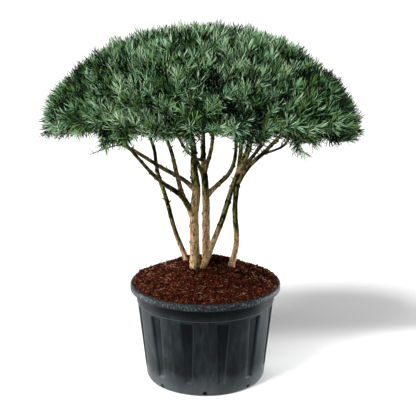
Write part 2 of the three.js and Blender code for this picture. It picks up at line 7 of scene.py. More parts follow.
import bpy
import numpy as np
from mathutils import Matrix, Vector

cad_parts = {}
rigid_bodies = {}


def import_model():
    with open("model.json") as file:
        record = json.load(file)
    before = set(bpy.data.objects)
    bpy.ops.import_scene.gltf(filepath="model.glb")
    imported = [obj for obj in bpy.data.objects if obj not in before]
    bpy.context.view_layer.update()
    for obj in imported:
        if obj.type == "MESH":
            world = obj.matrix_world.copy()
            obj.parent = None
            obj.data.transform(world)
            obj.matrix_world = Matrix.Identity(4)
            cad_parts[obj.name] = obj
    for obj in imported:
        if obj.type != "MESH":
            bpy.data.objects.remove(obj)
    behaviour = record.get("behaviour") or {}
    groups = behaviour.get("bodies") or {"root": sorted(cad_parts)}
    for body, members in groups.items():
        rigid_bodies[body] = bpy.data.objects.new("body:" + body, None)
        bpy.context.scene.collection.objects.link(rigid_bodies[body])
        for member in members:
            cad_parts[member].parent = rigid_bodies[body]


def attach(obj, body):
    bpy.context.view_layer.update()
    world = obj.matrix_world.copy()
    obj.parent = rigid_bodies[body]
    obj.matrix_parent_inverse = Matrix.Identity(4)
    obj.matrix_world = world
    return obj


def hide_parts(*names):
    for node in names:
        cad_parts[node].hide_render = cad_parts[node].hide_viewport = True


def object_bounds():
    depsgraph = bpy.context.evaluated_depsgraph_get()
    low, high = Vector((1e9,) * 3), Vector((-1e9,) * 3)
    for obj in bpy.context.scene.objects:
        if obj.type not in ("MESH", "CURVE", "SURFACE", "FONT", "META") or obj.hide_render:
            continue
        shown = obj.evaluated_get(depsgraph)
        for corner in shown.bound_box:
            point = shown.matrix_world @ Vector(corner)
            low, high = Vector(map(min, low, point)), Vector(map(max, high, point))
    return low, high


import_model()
cad_box = [list(corner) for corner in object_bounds()]

MM = 0.001
TURN = 2 * math.pi
GOLDEN_ANGLE = math.pi * (3 - math.sqrt(5))
UP = np.array([0.0, 0.0, 1.0])
PIECE_TRIANGLES = 195000
TURNED_QUAD = [0, 3, 2, 1]
TURNED_TRIANGLE = [1, 0, 2]

# Camera, in metres and degrees: a long lens from above the crown's rim, looking down on the plant
LENS = 86.54
CAMERA_PLACE = (0.018, -6.36, 2.78)
CAMERA_DOWN = 14.3

# The photograph's focal length and middle, in its pixels
FOCAL_PIXELS = 1000
MIDDLE_PIXEL = 208

# Suns: name, strength, softness, then azimuth from the front (positive to the right) and height in degrees
SUNS = [
    ("key", 3.1, 16, -44, 51), ("top", 1.2, 60, 0, 78),
    ("side", 1.4, 12, -42, 17), ("back", 0.6, 40, -155, 42),
]
SKY = 0.08

# Small soft panels low beside the container, in metres: name, place and power
PANELS = [("strip_left", (-2.2, 0.25, 0.36), 12), ("strip_right", (2.1, 0.6, 0.36), 15)]
PANEL_WIDTH = 0.7
PANEL_HEIGHT = 0.6
PANEL_SPREAD = 44

# Floor, in metres: the radius and height of its rings
STAGE_ROWS = [(60, 0), (72, 0.6), (80, 3), (85, 7.5), (88, 15)]
STAGE_SPOKES = 96

# Container
POT_HEIGHT = 660
WALL = 6
BASE_RADIUS = 396
WALL_SLOPE = 0.108
FOOT_ROUND = 24
LIP_RADIUS = 500
LIP_DEPTH = 42
LIP_ROUND = 14
BAND_DEPTH = 127
BAND_FOOT = POT_HEIGHT - BAND_DEPTH
STEP = 4
FLUTES = 12
FLUTE_DEPTH = 11
FLUTE_FOOT = 80
FLUTE_HEAD = 526
FLUTE_RUNOUT = 22
FLUTE_EDGE = 5
FLUTE_HALF_WIDTH_FOOT = 20
FLUTE_HALF_WIDTH_HEAD = 42
NOTCHES = 8
NOTCH_HALF_WIDTH = 13
NOTCH_DEPTH = 15
NOTCH_LOW = 12
NOTCH_HIGH = 30
NOTCH_EDGE = 5
WOBBLE = 0.8
WOBBLE_SIZE = 260

# Soil, with the size and height of each layer of its roughness
SOIL_RADIUS = 482
SOIL_RIM = 668
MOUND_TOP = 785
MOUND_TOP_RADIUS = 215
MOUND_SHOULDER = (350, 700)
SOIL_RINGS = 72
SOIL_SPOKES = 260
SOIL_TWIST = 0.3
SOIL_ROUGHNESS = [(75, 9), (26, 5), (11, 3), (5, 1.6)]
SOIL_SEED = 11
SOIL_SINK = 4
SKIRT_DEPTH = 30
SKIRT_INWARD = 0.93

# Loose bark on the soil: name, colour, share of the chips, then length, width and thickness
CHIPS = 5200
CHIP_KINDS = [
    ("chips_dark", 0x100603, 0.38, 28, 12, 7), ("chips_red", 0x42190d, 0.34, 30, 12, 7),
    ("chips_brown", 0x653120, 0.22, 28, 10, 6), ("chips_pale", 0x8a644a, 0.06, 26, 7, 4),
]
CHIP_TILT = 0.35
FIBRES = 640
FIBRE_LENGTH = (24, 72)
FIBRE_THICKNESS = (1.0, 2.4)
FIBRE_TILT = 0.25

# Limbs
GAP = 0.3
FLARE = 0.22
FLARE_RISE = 70
LAST_STEP = 90
LIMB_SIDES = 24
LIMB_STEP = 5.5
LIMB_SEED = 60
LIMB_SEED_STEP = 7
BURIED = 28
PLATE_SIZE = (7, 7, 26)
GRAIN_SIZE = (3, 3, 7)
LUMP_SIZE = (22, 22, 60)
KNOT_SPACING = 75
KNOT_SIZE = (5, 9)
KNOT_HEIGHT = (0.15, 0.42)
SCAR_HEIGHT = 0.08
SCAR_WIDTH = 5
BARK_FADE = 12
COLLAR = 0.42
COLLAR_REACH = 0.9
TAN_FADE = 160
# Way towards the bark's side away from the sun, where shade is painted on
SHADED_SIDE = (0.82, -0.34, -0.46)
STUBS = 6
STUB_LENGTH = (9, 28)
STUB_RADIUS = (2.5, 5)
STUB_PLACES = (0.25, 0.9)
STUB_SHAPE = [(0.2, 1.5), (0.6, 1.1), (0.85, 0.9), (1.0, 0.8)]
DEAD_TWIG = [(-500, -405, 1662), (-600, -440, 1640), (-692, -455, 1606)]
DEAD_SIDE_TWIGS = [(0.3, 34, 80), (0.45, 26, -70), (0.6, 40, 65), (0.74, 24, -80), (0.88, 30, 60)]
DEAD_TWIG_RADII = (4.6, 2.4)
DEAD_SIDE_RADII = (2.8, 1.8)

# Crown: the upper part of an ellipsoid, shared out among one top mass and two rings of masses
CROWN = np.array([-24.0, 0.0, 1660.0])
CROWN_HALF = np.array([1042.0, 930.0, 695.0])
MASS_DEPTH = 0.7
INNER_RING = {"count": 5, "polar": 41, "start": 23}
OUTER_RING = {"count": 10, "polar": 72, "start": 5}
RIM = 0.05
RIM_RISE_FRONT = 0.2
RIM_RISE_BACK = 0.06
RIM_TILT = 0.05
CORE_BELOW_DOME = 165
CORE_FROM_CELL = 8
CORE_INWARD = 110
CORE_OVER_RIM = 20
CORE_BELOW_MIDDLE = 60
STEM_IN_MASS = 45
MASS_STEM_TAPER = 0.4

# Main twigs, which end just below the dome
DOME_TWIGS = 240
TUFT = 145
TWIG_AWAY = 0.8
TWIG_UP = 0.25
TWIG_SINK = 0.04
TWIG_BEND = 0.35
SEED = 3
SEED_STEP = 101

# Twigs that hang under the rim, with loose branchlets at their ends
HANGING_TWIGS = 3
HANGING_REACH = 0.85
HANGING_DROP = 20
HANGING_SPREAD = 30
HANGING_BEND = 0.45
HANGING_COPIES = 3
HANGING_SWAY = 0.42
HANGING_DOWN = 0.05
HANGING_FORKS = (0.6, 0.98)
HANGING_APART = 50
HANGING_ONWARD = 20
HANGING_LIGHT = 0.1
HANGING_LIGHT_JITTER = 0.1

# Branchlets, which spread from the main twigs; some of them end in an open star of needles
BRANCHLETS = 1100
BRANCHLET_AWAY = 0.3
BRANCHLET_UP = 0.55
BRANCHLET_JITTER = 0.25
BRANCHLET_BEND = 0.45
BRANCHLET_FORKS = (0.5, 0.95)
PLACE_JITTER = 16
TURN_UP_ABOVE = 1700
TURN_UP_FADE = 350
TURN_UP_LEAST = 0.2
LOOSE_BEND = 0.4
STAR_BELOW = 2160
STAR_SHARE = 0.3

# Older branchlets deeper in the crown, which close it
INNER_BRANCHLETS = 1300
INNER_DEPTH = (0.68, 0.86)
INNER_SINK = 40
INNER_SHOOT = 70
INNER_JITTER = 20
INNER_UP = 0.3
INNER_SWAY = 0.3
INNER_FORKS = (0.3, 0.8)

# Shoots: one goes on from each branchlet's end, and side shoots lean out round it and turn up
LATERALS = 2
SHOOT_DEPTH = 108
TIP_SHOOT = (62, 86)
TIP_SWAY = 0.12
TIP_LIGHT = 0.08
SIDE_SHOOT = (46, 66)
SIDE_LIGHT = -0.06
SIDE_TURN_JITTER = 0.3
SIDE_FOOT_BELOW = 30
SIDE_LEAN = (0.75, 1.0)
SIDE_ONWARD = 0.55
SIDE_FIRST_PART = 0.55
SIDE_END_LEAN = 0.42
SIDE_END_UP = 0.15
SIDE_LAST_PART = 0.6

# Radii of the crown's wood at its foot and its tip, and how far it wanders from its curve
MAIN_TWIG_RADII = (6.2, 3.6)
MAIN_TWIG_THICKNESS = (0.8, 1.15)
MAIN_TWIG_WANDER = 3.5
FINE_TWIG_RADII = (3.6, 2.3)
FINE_TWIG_WANDER = 1.6
SHOOT_RADII = (2.2, 1.7)

# How far branchlets end below the dome: more in clouds, hollows and shoulders, and along the back and right
CLOUD_SIZE = 110
CLOUD_DEPTH = 22
CLOUD_SEED = 21
HOLLOW_SIZE = 190
HOLLOW_DEPTH = 60
HOLLOW_SEED = 22
HOLLOW_FROM = 0.22
HOLLOW_EDGE = 0.3
HOLLOWS_IN_FRONT_OF = 150
HOLLOWS_FADE = 300
RIM_BAND = 260
DEPTH_JITTER = 16
SHOULDER_DEPTH = 24
SHOULDER_FROM = 0.5
SHOULDER_TO = 1.02
SHOULDER_FADE = 0.2
RIM_DEPTH_BACK = 40
BACK_FROM = 620
BACK_FADE = 260
RIM_DEPTH_RIGHT = 16
RIGHT_FROM = 800
RIGHT_FADE = 150

# Hollows of their own: middle, then size, which is also the depth
HOLLOWS = [
    ((60, -655, 2150), 115), ((-195, -850, 1900), 70), ((172, -835, 1925), 70), ((-620, -420, 2010), 80),
]

# Tufts that hang below the rim: place of the hub and way that it faces
LOW_TUFTS = [
    ((545, -640, 1745), (0.3, -0.4, -0.85)), ((-570, -600, 1772), (-0.15, -0.35, -0.9)),
    ((-445, -740, 1815), (0.0, -0.3, -0.95)), ((-700, -500, 1850), (-0.1, -0.3, -0.95)),
    ((595, -600, 1735), (0.1, -0.3, -0.95)), ((-985, 60, 1715), (-0.5, -0.2, -0.8)),
]
TUFT_COPIES = 3
TUFT_JITTER = 16
TUFT_SWAY = 0.28
TUFT_FORK = 0.25
TUFT_FORK_OVER = 150
TUFT_BEND = 50
TUFT_LIGHT = (-0.1, 0.2)

# Openings where sky shows through the crown's lower edge: middle and radius in the photograph's pixels
OPENINGS = [
    ((177, 146), 8), ((206, 137), 5), ((219, 141), 7), ((228, 142), 7), ((306, 147), 6), ((345, 146), 5),
]

# Light that a branchlet's place gives it, which decides the tone of its needles
LIGHT_UP = 0.3
LIGHT_PROUD = 0.35
LIGHT_HOLLOW = -0.5
LIGHT_LOW = 0.32
LIGHT_RIGHT = -0.08
LIGHT_SIDES = -0.36
LIGHT_JITTER = 0.12
PALE_BELOW = 1830
PALE_FADE = 250
DEEP_RIGHT_OF = 150
DEEP_RIGHT_FADE = 500
DEEP_BEYOND = 480
DEEP_FADE = 300

# Needles: they stand off from a shoot's foot by one angle and from its tip by another
NEEDLE_LENGTH = (60, 84)
NEEDLE_HALF_WIDTH = 2.1
NEEDLE_BEND_AT = 0.68
NEEDLE_WIDTHS = (0.85, 1.15)
NEEDLE_FOOT_WIDTH = 0.8
NEEDLE_CURL = (0.02, 0.12)
NEEDLE_CURL_UP = 0.6
NEEDLE_TURN_JITTER = 0.5
NEEDLE_TURN_STEP = 1.7
YOUNG_SHARE = (0.02, 1.0)
TIP_NEEDLES = 46
SIDE_NEEDLES = 27
STAR_NEEDLES = 64
OLD_NEEDLES = 16
OLD_LEAN = (75, 55)
OLD_SHARE = (0.45, 1.0)
OLD_SMALLER = 0.95
INNER_NEEDLES = 38
INNER_LEAN = (75, 25)
INNER_SHARE = (0, 1)
INNER_LARGER = 1.3
LEAN_FOOT = 70
LEAN_TIP = 20
STAR_LEAN_FOOT = 88
STAR_LEAN_TIP = 30
LEAN_JITTER = 6
LEAN_POWER = 1.3
LEAN_LIMITS = (6, 100)
BOX_SHARE = 0.026
BOX_MARGIN = 8

# Buds, with a cluster of them at a share of the tips; a shape has places along a bud and their radii
BUD_LENGTH = 11
BUD_SHAPE = [(0.0, 1.5), (0.35, 2.4), (0.75, 1.4)]
CLUSTER_SHARE = 0.03
CLUSTER_BUDS = 5
CLUSTER_LENGTH = 15
CLUSTER_SHAPE = [(0.0, 2.0), (0.3, 3.6), (0.7, 3.2), (1.0, 1.6)]
CLUSTER_SWAY = 0.5
CLUSTER_BELOW = 6

STEMS = [
    {"name": "stem_front", "foot": (-68, -98), "mass": "foliage_inner_4", "tan_to": 1290,
     "route": [(-70, -108, 980), (-70, -112, 1170), (-57, -102, 1300), (-74, -66, 1450), (-80, -62, 1620)],
     "radii": [31, 30, 29, 25, 16, 13, 10]},
    {"name": "stem_back", "foot": (6, 105), "mass": "foliage_inner_2", "tan_to": 1240,
     "route": [(5, 112, 1000), (4, 110, 1200), (-9, 104, 1400), (-15, 140, 1520), (-14, 180, 1620)],
     "radii": [27, 26, 25, 21, 15, 12, 10]},
    {"name": "stem_leaning", "foot": (-14, -104), "mass": "foliage_inner_5", "tan_to": 1060,
     "route": [(41, -118, 930), (108, -130, 1110), (170, -150, 1325), (214, -170, 1450), (268, -235, 1610)],
     "radii": [20, 18, 18, 17, 16, 12, 9]},
    {"name": "stem_left", "foot": (-126, 62), "mass": "foliage_outer_5", "tan_to": 950,
     "route": [(-204, 100, 981), (-259, 140, 1178), (-325, 185, 1385), (-341, 220, 1503), (-392, 300, 1600)],
     "radii": [17, 15, 15, 14, 12, 10, 9]},
    {"name": "stem_right", "foot": (172, -66), "mass": "foliage_inner_1", "tan_to": 1000,
     "route": [(204, -70, 940), (193, -62, 1180), (216, -30, 1390), (232, 50, 1530), (240, 100, 1610)],
     "radii": [19, 18, 17, 17, 14, 11, 9]},
]

BOUGHS = [
    {"name": "bough_left_front", "parent": "stem_front", "leaves": 1130, "mass": "foliage_outer_7",
     "route": [(-107, -122, 1200), (-156, -130, 1275), (-290, -205, 1392), (-510, -415, 1660)],
     "radii": [21, 18, 14, 12, 10, 8]},
    {"name": "bough_left_rear", "parent": "bough_left_front", "leaves": 1262, "mass": "foliage_inner_3",
     "route": [(-186, -25, 1400), (-238, 90, 1560)],
     "radii": [16, 14, 12, 11, 9]},
    {"name": "bough_left_low", "parent": "stem_front", "leaves": 1300, "mass": "foliage_outer_6",
     "route": [(-139, -140, 1381), (-276, -190, 1471), (-452, -200, 1585), (-609, -180, 1665)],
     "radii": [16, 14, 13, 11, 9, 7]},
    {"name": "bough_front", "parent": "stem_back", "leaves": 1450, "mass": "foliage_outer_8",
     "route": [(-20, -45, 1490), (-62, -136, 1520), (-120, -205, 1588), (-190, -375, 1750)],
     "radii": [12, 11, 10, 9, 8, 7]},
    {"name": "bough_centre", "parent": "stem_back", "leaves": 1375, "mass": "foliage_top",
     "route": [(30, 62, 1500), (48, 0, 1620), (50, -24, 1700)],
     "radii": [14, 13, 11, 10, 9]},
    {"name": "bough_right_rear", "parent": "stem_back", "leaves": 1215, "mass": "foliage_outer_3",
     "route": [(89, 132, 1292), (153, 152, 1350), (190, 185, 1420), (206, 280, 1560)],
     "radii": [17, 15, 13, 11, 10, 8]},
    {"name": "bough_rear", "parent": "stem_back", "leaves": 1330, "mass": "foliage_outer_4",
     "route": [(-60, 210, 1440), (-130, 340, 1590)],
     "radii": [13, 12, 10, 9, 8]},
    {"name": "bough_front_right", "parent": "stem_leaning", "leaves": 1440, "mass": "foliage_outer_9",
     "route": [(262, -270, 1560), (308, -400, 1710)],
     "radii": [12, 11, 9, 8]},
    {"name": "bough_right_upper", "parent": "stem_right", "leaves": 1400, "mass": "foliage_outer_2",
     "route": [(296, 40, 1480), (376, 120, 1565)],
     "radii": [12, 11, 10, 8]},
    {"name": "bough_right", "parent": "stem_right", "leaves": 1345, "mass": "foliage_outer_10",
     "route": [(292, -52, 1462), (372, -64, 1537), (430, -110, 1610)],
     "radii": [16, 15, 13, 11, 9]},
    {"name": "bough_right_low", "parent": "bough_right", "leaves": 1535, "mass": "foliage_outer_1",
     "route": [(446, -36, 1552), (509, 0, 1578)],
     "radii": [9, 8, 8, 7]},
]

# Needle tones, from the palest, best lit ones to the deep ones inside: name, colour, share and gloss
NEEDLE_TONES = [
    ("silver", 0xb2cfa4, 0.11, 0.4),
    ("blue_green", 0x80b288, 0.29, 0.4),
    ("fresh", 0x688f44, 0.28, 0.3),
    ("green", 0x27492a, 0.2, 0.15),
    ("deep", 0x0b190f, 0.14, 0.05),
]

# Tones of their own: name, colour and gloss
# The old tone is near black: older needles are darker, and it also paints the shade inside the crown
OLD_SHADED_TONE = ("old", 0x070e09, 0.03)
DRY_TONE = ("dry", 0x6b5236, 0.1)
DRY_SHARE = 0.3
TONE_JITTER = 0.16

# How many tones some needles are off their shoot's tone, and the share of each step
TONE_STEPS = (-1, 0, 1, 3, 4)
TONE_STEP_SHARES = (0.26, 0.3, 0.06, 0.14, 0.24)


# Small helpers

def linear(colour):
    """The scene's linear colour for an sRGB number such as 0x4f7a5e."""
    parts = [(colour >> shift & 255) / 255 for shift in (16, 8, 0)]
    return [c / 12.92 if c <= 0.04045 else ((c + 0.055) / 1.055) ** 2.4 for c in parts] + [1.0]


def spokes(count):
    """Angles spread evenly over one turn."""
    return np.arange(count) * TURN / count


def unit(vectors):
    """Each vector at length one."""
    return vectors / np.maximum(np.linalg.norm(vectors, axis=-1, keepdims=True), 1e-9)


def joined(*groups):
    """Groups of arrays as one: the first ones together, the second ones together and so on."""
    return [np.concatenate(arrays) for arrays in zip(*groups)]


def nearest(places, others):
    """Which of the others is nearest to each place."""
    return np.argmin(np.linalg.norm(places[:, None] - others, axis=-1), axis=1)


def smooth(x):
    """0 below 0, 1 above 1 and an S-shaped rise between them."""
    x = np.clip(x, 0, 1)
    return x * x * (3 - 2 * x)


def cell_value(x, y, z, seed):
    """A repeatable number from 0 to 1 for each cell of a lattice; large odd factors mix it."""
    mixed = (x * 374761393 + y * 668265263 + z * 1440662683 + seed * 974634777) & 0xFFFFFFFF
    mixed = ((mixed ^ (mixed >> 13)) * 1274126177) & 0xFFFFFFFF
    return ((mixed ^ (mixed >> 16)) & 0xFFFFFF) / 0xFFFFFF


def noise(points, size, seed):
    """Smooth noise from -1 to 1 with features of the given size, which may differ by axis."""
    scaled = points / np.asarray(size, float)
    base = np.floor(scaled).astype(np.int64)
    part = smooth(scaled - base)
    total = np.zeros(points.shape[:-1])
    for corner in range(8):
        step = [corner & 1, corner >> 1 & 1, corner >> 2 & 1]
        weight = np.ones(points.shape[:-1])
        for axis in range(3):
            weight = weight * (part[..., axis] if step[axis] else 1 - part[..., axis])
        cell = [base[..., axis] + step[axis] for axis in range(3)]
        total += weight * cell_value(*cell, seed)
    return total * 2 - 1


def random_from(seed):
    """The source's repeatable row of numbers from 0 to 1."""
    state = seed
    while True:
        state = (state * 1664525 + 1013904223) % 4294967296
        yield state / 4294967296


def add_object(name, data):
    thing = bpy.data.objects.new(name, data)
    bpy.context.scene.collection.objects.link(thing)
    return thing


def add_piece(name, points, faces, material, nodes=(), is_smooth=True, values=None):
    """A piece from arrays: its points, and its faces as arrays of three or four corners a row."""
    mesh = bpy.data.meshes.new(name)
    mesh.vertices.add(len(points))
    mesh.vertices.foreach_set("co", (points * MM).astype(np.float32).ravel())
    corners = np.concatenate([rows.ravel() for rows in faces]).astype(np.int32)
    sizes = np.concatenate([np.full(len(rows), rows.shape[1]) for rows in faces])
    mesh.loops.add(len(corners))
    mesh.loops.foreach_set("vertex_index", corners)
    mesh.polygons.add(len(sizes))
    mesh.polygons.foreach_set("loop_start", (np.cumsum(sizes) - sizes).astype(np.int32))
    mesh.update(calc_edges=True)
    for label, numbers in (values or {}).items():
        attribute = mesh.attributes.new(label, "FLOAT", "POINT")
        attribute.data.foreach_set("value", numbers.astype(np.float32))
    if is_smooth:
        mesh.shade_smooth()
    mesh.materials.append(material)
    piece = add_object(name, mesh)
    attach(piece, "root")
    if nodes:
        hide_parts(*nodes)
    return piece


# Curves

class Way:
    """A line through space that is read by its share of length."""

    def __init__(self, points):
        self.points = np.asarray(points, float)
        gaps = np.linalg.norm(np.diff(self.points, axis=0), axis=1)
        self.reached = np.concatenate([[0], np.cumsum(gaps)])
        self.length = self.reached[-1]

    def at(self, shares):
        place = np.asarray(shares) * self.length
        return np.stack([np.interp(place, self.reached, self.points[:, axis]) for axis in range(3)], -1)

    def heading(self, shares):
        shares = np.asarray(shares)
        return unit(self.at(np.minimum(shares + 0.01, 1)) - self.at(np.maximum(shares - 0.01, 0)))


def catmull_rom(points):
    """A smooth line through the points, by the centripetal rule that the source's curves use."""
    points = np.asarray(points, float)
    padded = np.vstack([2 * points[0] - points[1], points, 2 * points[-1] - points[-2]])
    u = np.linspace(0, 1, 60, endpoint=False)[:, None]
    line = []
    for i in range(len(points) - 1):
        a, b, c, d = padded[i:i + 4]
        ab, bc, cd = [max(np.linalg.norm(q - p), 1e-6) ** 0.5 for p, q in ((a, b), (b, c), (c, d))]
        out = ((b - a) / ab - (c - a) / (ab + bc) + (c - b) / bc) * bc
        into = ((c - b) / bc - (d - b) / (bc + cd) + (d - c) / cd) * bc
        square = 3 * (c - b) - 2 * out - into
        cube = 2 * (b - c) + out + into
        line.append(b + out * u + square * u ** 2 + cube * u ** 3)
    return Way(np.vstack([*line, points[-1:]]))


def bezier(start, bend, end, t):
    """Points on quadratic curves; t is one row for all, or has one more axis than the curves' ends."""
    t = np.asarray(t)[..., None]
    start, bend, end = [p[..., None, :] for p in (start, bend, end)]
    return (1 - t) ** 2 * start + 2 * t * (1 - t) * bend + t ** 2 * end


def bezier_heading(start, bend, end, t):
    t = np.asarray(t)[..., None]
    start, bend, end = [p[..., None, :] for p in (start, bend, end)]
    return unit((1 - t) * (bend - start) + t * (end - bend))


def bend_before(hub, axis, start, share):
    """The middle point of a twig's curve, which lets the twig come to its hub along the axis."""
    return hub - axis * share * np.linalg.norm(hub - start, axis=-1, keepdims=True)


def value_along(values, t):
    return np.interp(t, np.linspace(0, 1, len(values)), values)


def cross_axes(headings):
    """Two unit vectors square to each heading."""
    chosen = np.where(np.abs(headings[..., 2:3]) < 0.9, UP, np.array([1.0, 0.0, 0.0]))
    across = unit(np.cross(headings, chosen))
    return across, np.cross(headings, across)


def rings_round(centres, headings, sides):
    """Unit vectors from each centre of a line out to the points of its ring."""
    across, _ = cross_axes(unit(centres[..., -1:, :] - centres[..., :1, :]))
    across = unit(across - headings * np.sum(across * headings, -1, keepdims=True))
    other = np.cross(headings, across)
    turn = spokes(sides)[:, None]
    return across[..., None, :] * np.cos(turn) + other[..., None, :] * np.sin(turn)


def ring_quads(rings, sides):
    """The faces between rings of points that follow one another."""
    side = np.arange(sides)
    following = (side + 1) % sides
    band = np.arange(rings - 1)[:, None] * sides
    quads = np.stack([band + side, band + following, band + sides + following, band + sides + side], -1)
    return quads.reshape(-1, 4)


def ring_fan(sides, first, middle):
    """The faces from a ring, which starts at the first point, to a middle point."""
    side = np.arange(sides)
    return np.stack([first + side, first + (side + 1) % sides, np.full(sides, middle)], -1)


def closed_faces(rings, sides):
    """The faces of rings that two middle points, which follow after all rings, close at both ends."""
    total = rings * sides
    start = ring_fan(sides, 0, total)[:, TURNED_TRIANGLE]
    return [ring_quads(rings, sides), start, ring_fan(sides, total - sides, total + 1)]


def tubes(paths, radii, sides):
    """Tubes that end in a point: paths are (tubes, rings, 3), and the radii may be one row for all tubes."""
    count, rings = paths.shape[:2]
    headings = unit(np.gradient(paths, axis=1))
    shell = paths[:, :, None, :] + radii[..., None, None] * rings_round(paths, headings, sides)
    tips = paths[:, -1] + headings[:, -1] * radii[..., -1:] * 1.5
    points = np.concatenate([shell.reshape(count, -1, 3), tips[:, None, :]], 1)
    offset = np.arange(count)[:, None, None] * (rings * sides + 1)
    quads = ring_quads(rings, sides) + offset
    fans = ring_fan(sides, (rings - 1) * sides, rings * sides) + offset
    return points.reshape(-1, 3), quads.reshape(-1, 4), fans.reshape(-1, 3)


def add_tubes(name, groups, material, values=None):
    """One piece of bark or twigs; each group has the paths, radii and sides of its tubes."""
    points, quads, fans, count = [], [], [], 0
    for group in groups:
        group_points, group_quads, group_fans = tubes(*group)
        points.append(group_points)
        quads.append(group_quads + count)
        fans.append(group_fans + count)
        count += len(group_points)
    values = {label: np.full(count, number) for label, number in (values or {}).items()}
    faces = [np.concatenate(quads), np.concatenate(fans)]
    add_piece(name, np.concatenate(points), faces, material, values=values)


# Materials

def new_material(name, colour, roughness, gloss):
    material = bpy.data.materials.new(name)
    material.use_nodes = True
    shader = material.node_tree.nodes["Principled BSDF"]
    shader.inputs["Base Color"].default_value = linear(colour)
    shader.inputs["Roughness"].default_value = roughness
    shader.inputs["Specular IOR Level"].default_value = gloss
    return material, material.node_tree, shader


def needle_material(name, colour, gloss):
    return new_material("needles_" + name, colour, 0.45, gloss)[0]


def dull_material(name, colour):
    return new_material(name, colour, 0.9, 0.04)[0]


def add_node(tree, kind, inputs, output=0, **settings):
    """A node whose inputs are numbers or other nodes' outputs; returns one of its own outputs."""
    node = tree.nodes.new("ShaderNode" + kind)
    for setting, value in settings.items():
        setattr(node, setting, value)
    for socket, value in inputs.items():
        if isinstance(value, bpy.types.NodeSocket):
            tree.links.new(value, node.inputs[socket])
        else:
            node.inputs[socket].default_value = value
    return node.outputs[output]


def object_noise(tree, scale, detail=6.0, stretch=(1, 1, 1), roughness=0.6):
    """Noise by place on the object; scale is features a metre."""
    place = add_node(tree, "TexCoord", {}, "Object")
    place = add_node(tree, "Mapping", {"Vector": place, "Scale": stretch})
    inputs = {"Vector": place, "Scale": scale, "Detail": detail, "Roughness": roughness}
    return add_node(tree, "TexNoise", inputs, "Fac")


def ramp(tree, source, stops):
    """A colour ramp: stops are (place, colour number)."""
    node = tree.nodes.new("ShaderNodeValToRGB")
    elements = node.color_ramp.elements
    while len(elements) < len(stops):
        elements.new(0.5)
    for element, (place, colour) in zip(elements, stops):
        element.position = place
        element.color = linear(colour)
    tree.links.new(source, node.inputs["Fac"])
    return node.outputs["Color"]


def spread(tree, source, low, high, to_low=0.0, to_high=1.0):
    """A value moved from one range to another, held at its ends."""
    inputs = {"Value": source, "From Min": low, "From Max": high, "To Min": to_low, "To Max": to_high}
    return add_node(tree, "MapRange", inputs, "Result")


def mix_value(tree, amount, first, second):
    return add_node(tree, "Mix", {0: amount, 2: first, 3: second})


def multiplied(tree, first, second):
    return add_node(tree, "Math", {0: first, 1: second}, operation="MULTIPLY")


def object_height(tree):
    """The height on the object, in metres."""
    return add_node(tree, "SeparateXYZ", {0: add_node(tree, "TexCoord", {}, "Object")}, "Z")


def mix_colour(tree, amount, first, second):
    """A mix of a colour with another one, which may also be a colour number."""
    if isinstance(second, int):
        second = linear(second)
    return add_node(tree, "Mix", {0: amount, 6: first, 7: second}, 2, data_type="RGBA")


def attribute(tree, name):
    return add_node(tree, "Attribute", {}, "Fac", attribute_name=name)


def bump(tree, shader, height, strength, distance):
    inputs = {"Strength": strength, "Distance": distance, "Height": height}
    tree.links.new(add_node(tree, "Bump", inputs, "Normal"), shader.inputs["Normal"])


def bark_material(name):
    """Papery tan bark that turns olive higher up, with dark cracks, a green bloom of algae, dark blotches
    that are partly painted shade of the crown, and painted shade on the side away from the sun.
    """
    material, tree, shader = new_material(name, 0x9a7a58, 0.88, 0.04)
    grain = object_noise(tree, 95, 8, (1, 1, 0.35))
    tan = ramp(tree, grain, [(0.3, 0x4c3826), (0.43, 0x7a5c3e), (0.58, 0xb89870), (0.78, 0x8f6a4a)])
    olive = ramp(tree, grain, [(0.32, 0x0b0a04), (0.44, 0x37331a), (0.58, 0x8c8a50), (0.76, 0x5a5029)])
    flecks = spread(tree, object_noise(tree, 105, 3, (1, 1, 0.6)), 0.53, 0.6, 0, 0.75)
    tan = mix_colour(tree, flecks, tan, 0xc4ac84)
    olive = mix_colour(tree, flecks, olive, 0x9a9c50)
    colour = mix_colour(tree, attribute(tree, "tone"), tan, olive)
    patches = spread(tree, object_noise(tree, 22, 4, (1, 1, 0.5)), 0.55, 0.7, 0, 0.45)
    colour = mix_colour(tree, patches, colour, 0x4c5430)
    # Dark blotches, strongest on the olive bark higher up: partly the bark's own dark patches, partly painted
    # shade where the crown shades the upper limbs
    blotches_and_crown_shade = spread(tree, object_noise(tree, 34, 3, (1, 1, 0.55), 0.4), 0.5, 0.56, 0, 0.92)
    higher = spread(tree, attribute(tree, "tone"), 0, 1, 0.18, 1)
    colour = mix_colour(tree, multiplied(tree, blotches_and_crown_shade, higher), colour, 0x0e0c06)
    cracks = spread(tree, attribute(tree, "relief"), 0.42, 0.16, 0, 0.85)
    colour = mix_colour(tree, cracks, colour, 0x140d07)
    # Painted shade: the bark is blackened on the side away from the sun
    colour = mix_colour(tree, attribute(tree, "painted_side_shade"), colour, 0x080704)
    tree.links.new(colour, shader.inputs["Base Color"])
    bump(tree, shader, object_noise(tree, 320, 8, (1, 1, 0.5)), 0.45, 0.0015)
    return material


